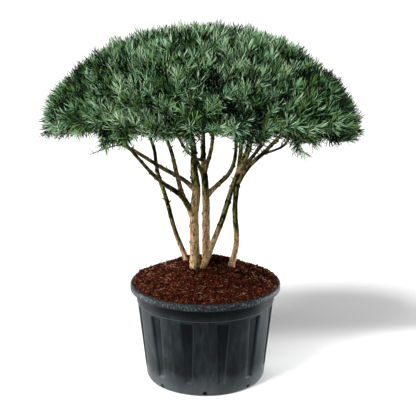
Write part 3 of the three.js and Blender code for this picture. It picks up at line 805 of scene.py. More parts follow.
def plastic_material():
    """Black moulded plastic, lighter towards the foot from dust and a painted reflection of the floor, with
    painted shade in flutes, notches and under the lip, painted highlights on edges, partly scuffs, and pale
    mottling on the lip, partly crumbs and partly painted sheen.
    """
    material, tree, shader = new_material("black_plastic", 0x14171a, 0.36, 0.05)
    shader.inputs["Specular Tint"].default_value = (0.88, 0.97, 1.0, 1.0)
    cloud = object_noise(tree, 9, 6, (1, 1, 0.6))
    streaks = object_noise(tree, 60, 5, (1, 1, 0.12))
    worn = mix_value(tree, 0.45, cloud, streaks)
    colour = ramp(tree, worn, [(0.34, 0x0e1113), (0.5, 0x171b1d), (0.66, 0x262b2d)])
    height = object_height(tree)
    # Lighter grey towards the foot: partly dust, partly a painted reflection of the pale floor
    foot = mix_value(tree, 0.4, spread(tree, height, 0.24, 0.0), cloud)
    colour = mix_colour(tree, spread(tree, foot, 0.4, 0.8, 0, 0.85), colour, 0x454a4c)
    # Painted highlight lines along the flute edges and the band's step, partly scuffs
    colour = mix_colour(tree, spread(tree, attribute(tree, "edge"), 0, 1, 0, 0.6), colour, 0x4e5558)
    # Painted shade: flutes darker towards their top, drain notches near black, and the lip's shadow on the
    # band
    colour = mix_colour(tree, spread(tree, attribute(tree, "painted_recess_shade"), 0, 1, 0, 0.9), colour, 0x010203)
    # Pale mottling on the lip: partly crumbs, partly painted sheen
    crumbs = spread(tree, object_noise(tree, 85, 8, (1, 1, 0.7), 0.75), 0.5, 0.66)
    sheen_and_crumbs_on_lip = spread(tree, height, 0.612, 0.63, 0, 0.75)
    colour = mix_colour(tree, multiplied(tree, crumbs, sheen_and_crumbs_on_lip), colour, 0x6c7074)
    tree.links.new(colour, shader.inputs["Base Color"])
    duller_lip = spread(tree, height, 0.612, 0.63, 1, 1.6)
    gloss = multiplied(tree, spread(tree, cloud, 0.3, 0.75, 0.3, 0.46), duller_lip)
    tree.links.new(gloss, shader.inputs["Roughness"])
    bump(tree, shader, object_noise(tree, 520, 3), 0.12, 0.0008)
    return material


def soil_material():
    """Moist composted bark: dark red-brown, with crumbs lighter and darker."""
    material, tree, shader = new_material("bark_compost", 0x3b1c12, 0.93, 0.02)
    crumbs = object_noise(tree, 130, 10, (1, 1, 1), 0.7)
    colour = ramp(tree, crumbs, [(0.3, 0x090402), (0.46, 0x240e07), (0.58, 0x451d10), (0.75, 0x69361f)])
    tree.links.new(colour, shader.inputs["Base Color"])
    bump(tree, shader, object_noise(tree, 380, 10), 0.7, 0.003)
    return material


# Container

def wall_radius(z):
    return BASE_RADIUS + WALL_SLOPE * z


def flute_half_width(z):
    rise = np.clip((z - FLUTE_FOOT) / (FLUTE_HEAD - FLUTE_FOOT), 0, 1)
    return FLUTE_HALF_WIDTH_FOOT + rise * (FLUTE_HALF_WIDTH_HEAD - FLUTE_HALF_WIDTH_FOOT)


def arc_rows(centre_radius, centre_z, size, start, end, count):
    """Rows of a profile along an arc, from one angle to another in degrees."""
    turn = np.radians(np.linspace(start, end, count))
    return [(centre_radius + size * math.cos(a), centre_z + size * math.sin(a)) for a in turn]


def wall_rows(low, high, count, out=0.0):
    return [(wall_radius(z) + out, z) for z in np.linspace(low, high, count)]


def pot_rows():
    """The container's profile from the middle of its underside, up the outside and down the inside."""
    lip_foot = POT_HEIGHT - LIP_DEPTH
    lip_inside = LIP_RADIUS - WALL
    rows = [(0.0, 0.0), (BASE_RADIUS - 60, 0.0), (BASE_RADIUS - FOOT_ROUND, 0.0)]
    rows += arc_rows(BASE_RADIUS - FOOT_ROUND, FOOT_ROUND, FOOT_ROUND, -75, -5, 7)
    rows += wall_rows(26, FLUTE_FOOT, 8)
    rows += wall_rows(FLUTE_FOOT + 4, FLUTE_FOOT + FLUTE_RUNOUT, 6)
    rows += wall_rows(FLUTE_FOOT + 45, FLUTE_HEAD - 45, 14)
    rows += wall_rows(FLUTE_HEAD - FLUTE_RUNOUT, FLUTE_HEAD - 3, 6)
    on_band = wall_radius(BAND_FOOT) + STEP
    rows += [(wall_radius(BAND_FOOT - 3), BAND_FOOT - 3), (wall_radius(BAND_FOOT - 1) + 0.8, BAND_FOOT - 1)]
    rows += [(on_band - 0.8, BAND_FOOT + 1), (on_band, BAND_FOOT + 3)]
    rows += wall_rows(BAND_FOOT + 12, POT_HEIGHT - 24, 4, STEP)
    rows += arc_rows(lip_inside - 8, POT_HEIGHT - 18, 9, 160, 10, 6)
    rows += [(lip_inside, lip_foot + 2), (lip_inside + 2, lip_foot)]
    rows += [(LIP_RADIUS - 2, lip_foot), (LIP_RADIUS, lip_foot + 2), (LIP_RADIUS, POT_HEIGHT - 30)]
    rows += arc_rows(LIP_RADIUS - LIP_ROUND, POT_HEIGHT - LIP_ROUND, LIP_ROUND, 0, 90, 8)
    inner = wall_radius(POT_HEIGHT) + STEP - WALL
    behind_flutes = WALL + FLUTE_DEPTH
    rows += [(inner + 5, POT_HEIGHT), (inner + 1.5, POT_HEIGHT - 1.5), (inner, POT_HEIGHT - 5)]
    rows += [(on_band - WALL, BAND_FOOT), (wall_radius(FLUTE_HEAD) - behind_flutes, FLUTE_HEAD - 12)]
    rows += [(wall_radius(FOOT_ROUND) - behind_flutes, FOOT_ROUND), (BASE_RADIUS - FOOT_ROUND - 14, WALL)]
    rows += [(0.0, WALL)]
    return np.array(rows)


def pot_columns(z):
    """The angles of the columns at a height: they crowd along the edges of flutes and notches."""
    period = TURN / FLUTES
    half = flute_half_width(z)
    half_period = period / 2 * wall_radius(z)
    beside_notch = half_period - NOTCH_HALF_WIDTH - 4
    stops = np.concatenate([
        np.linspace(0, half - FLUTE_EDGE, 4)[:-1],
        np.linspace(half - FLUTE_EDGE, half + FLUTE_EDGE, 7)[:-1],
        np.linspace(half + FLUTE_EDGE, beside_notch, 4)[:-1],
        np.linspace(beside_notch, half_period, 6),
    ])
    across = np.concatenate([-stops[:0:-1], stops[:-1]])
    middles = (np.arange(FLUTES) + 0.5) * period
    return (middles[:, None] + across / wall_radius(z)).ravel()


def flute_share(columns, radius, height):
    """How deep in a flute each point of the outer wall is, from 0 to 1."""
    period = TURN / FLUTES
    beside = np.abs((columns % period) - period / 2) * wall_radius(height)
    across = smooth((flute_half_width(height) + FLUTE_EDGE - beside) / (2 * FLUTE_EDGE))
    upright = smooth((height - FLUTE_FOOT) / FLUTE_RUNOUT) * smooth((FLUTE_HEAD - height) / FLUTE_RUNOUT)
    is_outside = np.abs(radius - wall_radius(height)) < 1.5
    return np.where(is_outside, across * upright, 0)


def notch_share(columns, radius, height):
    """How deep in a drain notch each point is, from 0 to 1; the first half of the rows is the outside."""
    spacing = TURN / NOTCHES
    beside = np.abs((columns + spacing / 2) % spacing - spacing / 2) * BASE_RADIUS
    share = smooth((NOTCH_HALF_WIDTH - beside) / 3)
    share = share * smooth((height - NOTCH_LOW + NOTCH_EDGE) / NOTCH_EDGE)
    share = share * smooth((NOTCH_HIGH + NOTCH_EDGE - height) / NOTCH_EDGE)
    return share * (radius > BASE_RADIUS - FOOT_ROUND) * (np.arange(len(height))[:, None] < len(height) // 2)


def pot_marks(radius, height, fluted, notched):
    """Painted shade in flutes, deeper towards their top, in drain notches and under the lip, where its shadow
    falls, and painted highlights, partly scuffs, along flute edges and the band's step.
    """
    on_band = (height < POT_HEIGHT - LIP_DEPTH + 1) * (radius > wall_radius(height) + STEP - 1)
    # Painted shadow of the lip on the band below it
    lip_shadow = smooth((height - BAND_FOOT - 4) / 50) * on_band
    # Painted shade in the flutes, deeper towards their top
    flute_shade = fluted * (0.15 + 0.7 * smooth((height - 120) / 380))
    # Painted highlight line, partly a scuff, along the band's step
    band_step_scuff_and_highlight = np.isclose(np.abs(height - BAND_FOOT), 1) * (radius > wall_radius(height) - 10)
    return {"painted_recess_shade": flute_shade + 1.5 * notched + lip_shadow, "edge": fluted * (1 - fluted) + band_step_scuff_and_highlight}


def add_pot(material):
    """The container: all rows but the first and the last are rings, and those two are its middles."""
    rows = pot_rows()
    columns = np.array([pot_columns(z) for z in rows[:, 1]])
    radius, height = [np.repeat(rows[:, i:i + 1], columns.shape[1], 1) for i in (0, 1)]
    fluted = flute_share(columns, radius, height)
    radius = radius - FLUTE_DEPTH * fluted
    notched = notch_share(columns, radius, height)
    radius = radius - NOTCH_DEPTH * notched
    marks = pot_marks(radius, height, fluted, notched)
    values = {label: np.append(numbers[1:-1], [0, 0]) for label, numbers in marks.items()}
    around = np.stack([np.cos(columns), np.sin(columns)], -1)
    points = np.concatenate([radius[..., None] * around, height[..., None]], -1)
    points[..., :2] += (noise(points, WOBBLE_SIZE, 5) * WOBBLE)[..., None] * around
    middles = [(0.0, 0.0, rows[0, 1]), (0.0, 0.0, rows[-1, 1])]
    points = np.vstack([points[1:-1].reshape(-1, 3), middles])
    faces = closed_faces(len(rows) - 2, columns.shape[1])
    add_piece("container", points, faces, material, ["pot"], values=values)


# Soil

def mound_height(radius):
    """The height of the soil at a distance from the middle."""
    t = np.linspace(0, 1, 40)
    rim = np.array([SOIL_RADIUS, SOIL_RIM])
    top = np.array([MOUND_TOP_RADIUS, MOUND_TOP])
    curve = bezier(rim, np.array(MOUND_SHOULDER, float), top, t)
    slope = np.interp(radius, curve[::-1, 0], curve[::-1, 1])
    return slope - 10 * smooth((radius - 120) / 110) * smooth((330 - radius) / 100)


def soil_surface(x, y):
    """The height of the soil at a place, with its roughness, which ends at the lip."""
    radius = np.hypot(x, y)
    flat = np.stack([x, y, np.zeros_like(x)], -1)
    rough = sum(height * noise(flat, size, SOIL_SEED + i) for i, (size, height) in enumerate(SOIL_ROUGHNESS))
    edge = smooth((SOIL_RADIUS + 30 - radius) / 80)
    return mound_height(radius) + rough * edge - SOIL_SINK


def add_soil(material):
    """The soil: rings that turn a little outwards, a skirt inside the lip and a point in the middle."""
    shares = np.linspace(0.006, 1, SOIL_RINGS)[:, None]
    radius = SOIL_RADIUS * shares * np.ones(SOIL_SPOKES)
    turn = spokes(SOIL_SPOKES) + shares * SOIL_TWIST
    x = radius * np.cos(turn)
    y = radius * np.sin(turn)
    points = np.stack([x, y, soil_surface(x, y)], -1).reshape(-1, 3)
    skirt = points[-SOIL_SPOKES:] * (SKIRT_INWARD, SKIRT_INWARD, 0) + (POT_HEIGHT - SKIRT_DEPTH) * UP
    points = np.vstack([points, skirt, (0.0, 0.0, points[0, 2])])
    quads = ring_quads(SOIL_RINGS + 1, SOIL_SPOKES)[:, TURNED_QUAD]
    fan = ring_fan(SOIL_SPOKES, 0, len(points) - 1)
    add_piece("soil_mound", points, [quads, fan], material, ["soil"])


def scattered(random, count, reach):
    """Places spread over the soil by area."""
    radius = reach * np.sqrt(random.random(count))
    turn = random.random(count) * TURN
    return radius * np.cos(turn), radius * np.sin(turn)


def chip_shapes(random, length, width, thickness, reach, tilt):
    """Broken flakes of bark: skewed flat blocks that lie on the soil at all angles."""
    count = len(length)
    x, y = scattered(random, count, reach)
    place = np.stack([x, y, soil_surface(x, y) + thickness * 0.2], -1)
    turn = random.random(count) * TURN
    lift = random.normal(0, tilt, count)
    along = np.stack([np.cos(turn) * np.cos(lift), np.sin(turn) * np.cos(lift), np.sin(lift)], -1)
    roll = random.normal(0, tilt, count)[:, None]
    level = unit(np.cross(UP, along))
    side = level * np.cos(roll) + np.cross(along, level) * np.sin(roll)
    over = np.cross(along, side)
    size = np.stack([length, width, thickness], -1) * random.uniform(0.5, 1.0, (count, 1))
    signs = np.array([(i & 1, i >> 1 & 1, i >> 2 & 1) for i in range(8)]) * 2 - 1
    corners = signs * 0.5 * random.uniform(0.55, 1.15, (count, 8, 3)) * size[:, None, :]
    axes = np.stack([along, side, over], 1)
    points = place[:, None, :] + np.einsum("nkj,nji->nki", corners, axes)
    block = np.array([(0, 2, 3, 1), (4, 5, 7, 6), (0, 1, 5, 4), (2, 6, 7, 3), (0, 4, 6, 2), (1, 3, 7, 5)])
    faces = (block[None] + np.arange(count)[:, None, None] * 8).reshape(-1, 4)
    return points.reshape(-1, 3), faces


def add_loose(name, material, shapes):
    points, faces = shapes
    add_piece(name, points, [faces], material, is_smooth=False)


def add_chips():
    """Flakes of bark in four colours, and pale fibres."""
    random = np.random.default_rng(SEED)
    for name, colour, share, length, width, thickness in CHIP_KINDS:
        count = int(CHIPS * share)
        long = random.uniform(0.4, 1.2, count) * length
        wide = random.uniform(0.4, 1.2, count) * width
        thick = random.uniform(0.5, 1.3, count) * thickness
        shapes = chip_shapes(random, long, wide, thick, SOIL_RADIUS, CHIP_TILT)
        add_loose(name, dull_material(name, colour), shapes)
    long = random.uniform(*FIBRE_LENGTH, FIBRES)
    thin = random.uniform(*FIBRE_THICKNESS, FIBRES)
    shapes = chip_shapes(random, long, thin, thin, SOIL_RADIUS - 20, FIBRE_TILT)
    add_loose("soil_fibres", dull_material("fibres", 0xa88a66), shapes)


# Crown's rule, as the source has it

def dome_point(cos_polar, azimuth, depth=1.0):
    """A point on the crown's dome, or inside it where the depth is less than 1."""
    sin_polar = np.sqrt(1 - cos_polar ** 2)
    offset = np.stack([sin_polar * np.cos(azimuth), sin_polar * np.sin(azimuth), cos_polar], -1)
    return CROWN + offset * CROWN_HALF * depth


def dome_normal(points):
    return unit((points - CROWN) / CROWN_HALF ** 2)


def distance_to_dome(point, direction):
    p = (point - CROWN) / CROWN_HALF
    d = direction / CROWN_HALF
    a, b, c = d @ d, p @ d, p @ p - 1
    return (-b + math.sqrt(b * b - a * c)) / a


def rim_cosine(azimuth):
    """How high the dome's rim is, as the cosine of its angle from the top."""
    rise = np.where(np.sin(azimuth) < 0, RIM_RISE_FRONT, RIM_RISE_BACK)
    return RIM + rise * np.abs(np.sin(azimuth)) - RIM_TILT * np.cos(azimuth)


def make_masses():
    """The masses in the source's order, with the planes that bound each one's core."""
    masses = {"foliage_top": {"centre": dome_point(np.cos(0.0), np.array(0.0), MASS_DEPTH)}}
    for label, ring in (("inner", INNER_RING), ("outer", OUTER_RING)):
        for i in range(ring["count"]):
            azimuth = math.radians(ring["start"] + 360 / ring["count"] * i)
            cosine = math.cos(math.radians(ring["polar"]))
            masses[f"foliage_{label}_{i + 1}"] = {"centre": dome_point(np.array(cosine), azimuth, MASS_DEPTH)}
    for index, mass in enumerate(masses.values()):
        centre = mass["centre"]
        mass["index"] = index
        mass["walls"] = []
        for other in masses.values():
            if other is not mass:
                apart = other["centre"] - centre
                mass["walls"].append((unit(apart), np.linalg.norm(apart) / 2))
        azimuth = math.atan2(centre[1] - CROWN[1], centre[0] - CROWN[0])
        mass["rim_height"] = CROWN[2] + rim_cosine(azimuth) * CROWN_HALF[2]
        drop = max(centre[2] - mass["rim_height"] - CORE_OVER_RIM, CORE_BELOW_MIDDLE)
        mass["walls"] += [(-dome_normal(centre), CORE_INWARD), (-UP, drop)]
    return masses


def core_reach(mass, direction):
    """How far a mass's core reaches from its centre in one direction."""
    reach = distance_to_dome(mass["centre"], direction) - CORE_BELOW_DOME
    for normal, distance in mass["walls"]:
        facing = direction @ normal
        if facing > 0:
            reach = min(reach, (distance - CORE_FROM_CELL) / facing)
    return reach


def limb_way(limb, ways, masses):
    """The limb's centre line, from its foot or its parent to the way into the mass that it carries."""
    if "foot" in limb:
        start = np.array([*limb["foot"], MOUND_TOP + GAP])
    else:
        spaced = ways[limb["parent"]].at(np.linspace(0, 1, 241))
        start = spaced[np.argmin(np.abs(spaced[:, 2] - limb["leaves"]))]
    route = [np.array(place, float) for place in limb["route"]]
    mass = masses[limb["mass"]]
    approach = unit(route[-1] - mass["centre"])
    entry = mass["centre"] + approach * (core_reach(mass, approach) + STEM_IN_MASS)
    kept = [place for place in route if np.linalg.norm(place - entry) > LAST_STEP]
    return catmull_rom([start, *kept, entry])


def dome_places(count):
    """Places spread evenly over the dome by the golden angle, down to the rim."""
    low = CROWN_HALF[2]
    grow = (CROWN_HALF[0] + CROWN_HALF[1]) / 2 - low
    lowest = RIM - RIM_TILT
    area = low * (1 - lowest) + grow * (1 - lowest ** 2) / 2
    step = np.arange(count)
    rest = low + grow / 2 - (step + 0.5) / count * area
    cosine = (-low + np.sqrt(low ** 2 + 2 * grow * rest)) / grow
    azimuth = step * GOLDEN_ANGLE
    kept = cosine > rim_cosine(azimuth)
    return dome_point(cosine[kept], azimuth[kept])


def tuft_axis(centres, places):
    away = unit(places - centres)
    return unit(dome_normal(places) + TWIG_AWAY * away + TWIG_UP * UP)


# Trunk and boughs

def bark_relief(turn, reached, radius, seed):
    """The bark's height over the limb, from plates, lumps, knots and ring scars, and then its cracks."""
    size = np.mean(radius)
    around = np.stack([np.cos(turn) * size, np.sin(turn) * size, reached], -1)
    plates = noise(around, PLATE_SIZE, seed)
    grain = noise(around, GRAIN_SIZE, seed + 1)
    lumps = noise(around, LUMP_SIZE, seed + 2)
    height = np.clip(radius / 24, 0.35, 1) * (plates + 0.45 * grain + 1.5 * lumps)
    random = np.random.default_rng(seed)
    place = KNOT_SPACING * 0.6
    while place < reached.max() - 20:
        height = height + np.exp(-((reached - place) / SCAR_WIDTH) ** 2) * size * SCAR_HEIGHT
        for _ in range(random.integers(1, 4)):
            knot_turn = random.random() * TURN
            spot = random.uniform(*KNOT_SIZE) * (0.5 + size / 40)
            beside = ((turn - knot_turn + math.pi) % TURN - math.pi) * size
            shape = np.exp(-(beside ** 2 + (reached - place) ** 2 / 1.6) / spot ** 2)
            height = height + shape * size * random.uniform(*KNOT_HEIGHT)
        place += KNOT_SPACING * random.uniform(0.6, 1.5)
    return height, plates * 0.6 + grain * 0.4


def limb_tone(points, tan_to, height_share):
    """0 where the bark is tan and papery and 1 where it is olive; each stem turns olive at its own height."""
    patch = noise(points, (60, 60, 110), 40)
    if tan_to:
        return smooth((points[..., 2] - tan_to) / TAN_FADE + 0.5 + 0.3 * patch)
    return smooth(0.75 + 0.35 * patch - 0.35 * smooth((0.3 - height_share) / 0.3))


def side_shade_share(outward, tone):
    """How far painted shade blackens the bark on the side away from the sun, most of all where it is olive.
    """
    side = unit(np.array(SHADED_SIDE))
    return smooth((outward @ side + 0.1) / 0.8) * (0.35 + 0.6 * tone)


def limb_radius(limb, shares, reached, turn, seed, radii_of):
    """The limb's radius without its bark: a flare at a stem's foot, or a collar where a bough leaves."""
    radius = value_along(limb["radii"], shares)[:, None]
    if "foot" in limb:
        lobes = 1 + 0.35 * np.cos(3 * turn + seed) + 0.2 * np.cos(5 * turn + 2 * seed)
        return radius * (1 + FLARE * lobes * np.exp(-reached / FLARE_RISE))
    parent_radius = radii_of[limb["parent"]]
    outside = np.maximum(reached - parent_radius, 0)
    return radius * (1 + COLLAR * np.exp(-outside / (COLLAR_REACH * parent_radius)))


def add_limb(limb, ways, radii_of, material_of):
    """One stem or bough with its bark; returns the radius halfway along it, for the boughs that leave it."""
    way = ways[limb["name"]]
    is_stem = "foot" in limb
    seed = LIMB_SEED + LIMB_SEED_STEP * (len(radii_of) + 1)
    shares = np.linspace(0, 1, int(way.length / LIMB_STEP) + 1)
    centre = way.at(shares)
    reached = shares[:, None] * way.length
    turn = spokes(LIMB_SIDES)[None, :]
    radius = limb_radius(limb, shares, reached, turn, seed, radii_of)
    relief, cracks = bark_relief(turn + 0 * reached, reached + 0 * turn, radius + 0 * turn, seed)
    fade = 1 if is_stem else smooth(reached / BARK_FADE)
    out = rings_round(centre, way.heading(shares), LIMB_SIDES)
    points = centre[:, None, :] + (radius + relief * fade)[..., None] * out
    if is_stem:
        foot_twice = np.r_[0, 0:len(points)]
        points, cracks, out, shares = [rows[foot_twice] for rows in (points, cracks, out, shares)]
        points[0, :, 2] = MOUND_TOP - BURIED
    tone = limb_tone(points, limb.get("tan_to"), shares[:, None])
    # The last value is painted shade on the side away from the sun
    values = {"relief": cracks * 0.5 + 0.5, "tone": tone, "painted_side_shade": side_shade_share(out, tone)}
    values = {label: np.append(numbers, [0.5, 0.5]) for label, numbers in values.items()}
    middles = [centre[0] - (0, 0, BURIED if is_stem else 0), centre[-1]]
    faces = closed_faces(len(points), LIMB_SIDES)
    slot = "bark_lower" if is_stem else "bark_upper"
    points = np.vstack([points.reshape(-1, 3), middles])
    add_piece("bark_" + limb["name"], points, faces, material_of[slot], [limb["name"]], values=values)
    return value_along(limb["radii"], 0.5)


def add_stubs(ways, material):
    """Short ends of pruned and dead twigs along the limbs."""
    random = np.random.default_rng(SEED + 5)
    paths, radii = [], []
    for limb in STEMS + BOUGHS:
        for share in random.uniform(*STUB_PLACES, STUBS):
            centre = ways[limb["name"]].at(share)
            heading = ways[limb["name"]].heading(share)
            across, other = cross_axes(heading)
            turn = random.uniform(0, TURN)
            outward = unit(across * math.cos(turn) + other * math.sin(turn) + 0.5 * heading)
            reach = value_along(limb["radii"], share) + random.uniform(*STUB_LENGTH)
            paths.append([centre + outward * reach * t for t, _ in STUB_SHAPE])
            radii.append(np.array([size for _, size in STUB_SHAPE]) * random.uniform(*STUB_RADIUS))
    # Stubs get an even share of the bark's painted shade
    values = {"relief": 0.45, "tone": 1.0, "painted_side_shade": 0.3}
    add_tubes("pruned_stubs", [(np.array(paths), np.array(radii), 7)], material, values)


def add_dead_twig():
    """A bare dead twig that reaches out under the crown at the left, with short side twigs."""
    way = catmull_rom(DEAD_TWIG)
    paths = [way.at(np.linspace(0, 1, 12))]
    radii = [np.linspace(*DEAD_TWIG_RADII, 12)]
    for share, length, lift in DEAD_SIDE_TWIGS:
        rise = math.radians(lift)
        side = way.heading(share) * math.cos(rise) + UP * math.sin(rise)
        paths.append(way.at(share) + side * np.linspace(0, length, 12)[:, None])
        radii.append(np.linspace(*DEAD_SIDE_RADII, 12))
    twig = (np.array(paths), np.array(radii), 6)
    add_tubes("dead_twig", [twig], dull_material("dead_wood", 0x24242a))


def add_limbs(ways):
    material_of = {name: bark_material(name) for name in ("bark_lower", "bark_upper")}
    radii_of = {}
    for limb in STEMS + BOUGHS:
        radii_of[limb["name"]] = add_limb(limb, ways, radii_of, material_of)
    add_stubs(ways, material_of["bark_upper"])
    add_dead_twig()


# Twigs

def dome_twig(stem, mass, place, random):
    """A twig from a mass's stem to a tuft just below a place on the dome: start, bend, hub, axis and tip."""
    tip = place + (CROWN - place) * TWIG_SINK * next(random)
    start = bezier(*stem, np.array([0.5 + 0.45 * next(random)]))[0]
    axis = tuft_axis(mass["centre"], tip)
    hub = tip - axis * TUFT
    return start, bend_before(hub, axis, start, TWIG_BEND), hub, axis, tip


def hanging_twig(stem, mass, azimuth, random):
    """A twig from a mass's stem to a tuft that hangs under the rim."""
    outward = np.array([math.cos(azimuth), math.sin(azimuth), 0])
    tip = mass["centre"] + outward * core_reach(mass, outward) * HANGING_REACH
    tip[2] = mass["rim_height"] - HANGING_DROP - HANGING_SPREAD * next(random)
    axis = unit(tip - mass["centre"])
    start = bezier(*stem, np.array([0.3 + 0.3 * next(random)]))[0]
    hub = tip - axis * TUFT * 0.8
    return start, bend_before(hub, axis, start, HANGING_BEND), hub, axis, tip


def grow_main_twigs(ways, masses):
    """The source's twigs: the stem in each mass, twigs to the dome and, in the outer masses, hanging ones."""
    limb_of = {limb["mass"]: limb for limb in STEMS + BOUGHS}
    places = dome_places(DOME_TWIGS)
    owner = nearest(places, np.array([mass["centre"] for mass in masses.values()]))
    stems, dome, hanging = [], [], []
    for name, mass in masses.items():
        limb = limb_of[name]
        tip = ways[limb["name"]].at(1.0)
        onward = ways[limb["name"]].heading(1.0)
        stem = (tip - onward * 4, tip + onward * STEM_IN_MASS, mass["centre"])
        stems.append((*stem, limb["radii"][-1]))
        random = random_from(SEED + mass["index"] * SEED_STEP)
        dome += [dome_twig(stem, mass, place, random) for place in places[owner == mass["index"]]]
        if name.startswith("foliage_outer"):
            for i in range(HANGING_TWIGS):
                azimuth = (i + next(random)) * TURN / HANGING_TWIGS
                hanging.append(hanging_twig(stem, mass, azimuth, random))
    return [[np.array(column) for column in zip(*twigs)] for twigs in (stems, dome, hanging)]


def forks(twigs, chosen, shares):
    """Where branchlets leave the chosen twigs."""
    return bezier(*[ends[chosen] for ends in twigs[:3]], shares)[:, 0]


def branchlet_depth(places, clouds, hollows, random):
    """How far below its place on the dome each branchlet ends."""
    is_high = places[:, 2] >= CROWN[2] + RIM_BAND
    depth = CLOUD_DEPTH * clouds + HOLLOW_DEPTH * hollows * is_high
    depth += random.uniform(0, DEPTH_JITTER, len(places))
    across = np.hypot(*((places - CROWN) / CROWN_HALF)[:, :2].T)
    shoulder = SHOULDER_DEPTH * smooth((across - SHOULDER_FROM) / SHOULDER_FADE)
    depth += shoulder * smooth((SHOULDER_TO - across) / SHOULDER_FADE)
    depth += RIM_DEPTH_BACK * smooth((places[:, 1] - BACK_FROM) / BACK_FADE)
    depth += RIM_DEPTH_RIGHT * smooth((places[:, 0] - RIGHT_FROM) / RIGHT_FADE)
    for middle, size in HOLLOWS:
        depth += size * np.exp(-np.sum((places - middle) ** 2, -1) / size ** 2)
    return depth


def branchlet_light(places, normal, clouds, hollows, random):
    """How well lit each branchlet is, for the tone of its needles."""
    low = 1 - smooth((places[:, 2] - PALE_BELOW) / PALE_FADE)
    right = smooth((places[:, 0] - DEEP_RIGHT_OF) / DEEP_RIGHT_FADE)
    sides = smooth((np.abs(places[:, 0] - CROWN[0]) - DEEP_BEYOND) / DEEP_FADE)
    light = LIGHT_UP * normal[:, 2] + LIGHT_PROUD * (1 - clouds) + LIGHT_HOLLOW * hollows
    light = light + LIGHT_LOW * low + LIGHT_RIGHT * right + LIGHT_SIDES * sides
    return light + random.normal(0, LIGHT_JITTER, len(places))


def grow_branchlets(main, random):
    """Branchlets that fork off the main twigs towards places of their own, just below the dome."""
    places = dome_places(BRANCHLETS)
    parent = nearest(places, main[-1])
    jitter = random.normal(0, PLACE_JITTER, places.shape)
    clouds = noise(places, CLOUD_SIZE, CLOUD_SEED) * 0.5 + 0.5
    hollows = smooth((noise(places, HOLLOW_SIZE, HOLLOW_SEED) - HOLLOW_FROM) / HOLLOW_EDGE)
    hollows = hollows * smooth((HOLLOWS_IN_FRONT_OF - places[:, 1]) / HOLLOWS_FADE)
    depth = branchlet_depth(places, clouds, hollows, random)
    is_star = (random.random(len(places)) < STAR_SHARE) & (places[:, 2] < STAR_BELOW)
    normal = dome_normal(places)
    places = places + jitter - normal * depth[:, None]
    away = unit(places - main[-1][parent] + 0.001)
    upward = TURN_UP_LEAST + (1 - TURN_UP_LEAST) * smooth((places[:, 2:] - TURN_UP_ABOVE) / TURN_UP_FADE)
    lift = BRANCHLET_UP * upward * ~is_star[:, None]
    axis = normal + BRANCHLET_AWAY * away + lift * UP
    axis = unit(axis + random.normal(0, BRANCHLET_JITTER, places.shape))
    hub = places - axis * SHOOT_DEPTH
    start = forks(main, parent, random.uniform(*BRANCHLET_FORKS, (len(places), 1)))
    bend = bend_before(hub, axis, start, BRANCHLET_BEND)
    return start, bend, hub, axis, branchlet_light(places, normal, clouds, hollows, random), is_star


def grow_inner(main, random):
    """Older branchlets deeper in the crown, which close it: start, bend, end and hub of their shoots."""
    places = dome_places(INNER_BRANCHLETS)
    depth = random.uniform(*INNER_DEPTH, (len(places), 1))
    places = CROWN + (places - CROWN) * depth + random.normal(0, INNER_JITTER, places.shape)
    parent = nearest(places, main[-1])
    axis = unit(dome_normal(places) + INNER_UP * UP + random.normal(0, INNER_SWAY, places.shape))
    hub = places - axis * INNER_SINK
    start = forks(main, parent, random.uniform(*INNER_FORKS, (len(places), 1)))
    return start, bend_before(hub, axis, start, LOOSE_BEND), hub + axis * INNER_SHOOT, hub


def grow_hanging(hanging, random):
    """A few loose branchlets at the end of each twig that hangs under the rim."""
    parent = np.repeat(np.arange(len(hanging[0])), HANGING_COPIES)
    count = len(parent)
    loose = random.normal(0, HANGING_SWAY, (count, 3))
    axis = unit(hanging[3][parent] + loose - UP * HANGING_DOWN)
    start = forks(hanging, parent, random.uniform(*HANGING_FORKS, (count, 1)))
    hub = hanging[2][parent] + loose * HANGING_APART + axis * HANGING_ONWARD
    light = np.full(count, HANGING_LIGHT) + random.normal(0, HANGING_LIGHT_JITTER, count)
    return start, bend_before(hub, axis, start, LOOSE_BEND), hub, axis, light, np.full(count, True)


def grow_low_tufts(random):
    """Tufts that hang below the rim at places of their own."""
    hub, axis = np.repeat(np.array(LOW_TUFTS), TUFT_COPIES, axis=0).transpose(1, 0, 2)
    hub = hub + random.normal(0, TUFT_JITTER, hub.shape)
    axis = unit(unit(axis) + random.normal(0, TUFT_SWAY, axis.shape))
    start = hub + TUFT_FORK * (CROWN + TUFT_FORK_OVER * UP - hub)
    count = len(hub)
    light = random.uniform(*TUFT_LIGHT, count)
    return start, hub - axis * TUFT_BEND, hub, axis, light, np.full(count, True)


def in_opening(points):
    """Which points would close a place where sky shows through the crown's lower edge."""
    down = math.radians(CAMERA_DOWN)
    away = points * MM - np.array(CAMERA_PLACE)
    ahead = away[..., 1] * math.cos(down) - away[..., 2] * math.sin(down)
    above = away[..., 1] * math.sin(down) + away[..., 2] * math.cos(down)
    seen = np.stack([away[..., 0], -above], -1) / ahead[..., None] * FOCAL_PIXELS + MIDDLE_PIXEL
    return np.any([np.linalg.norm(seen - middle, axis=-1) < size for middle, size in OPENINGS], axis=0)


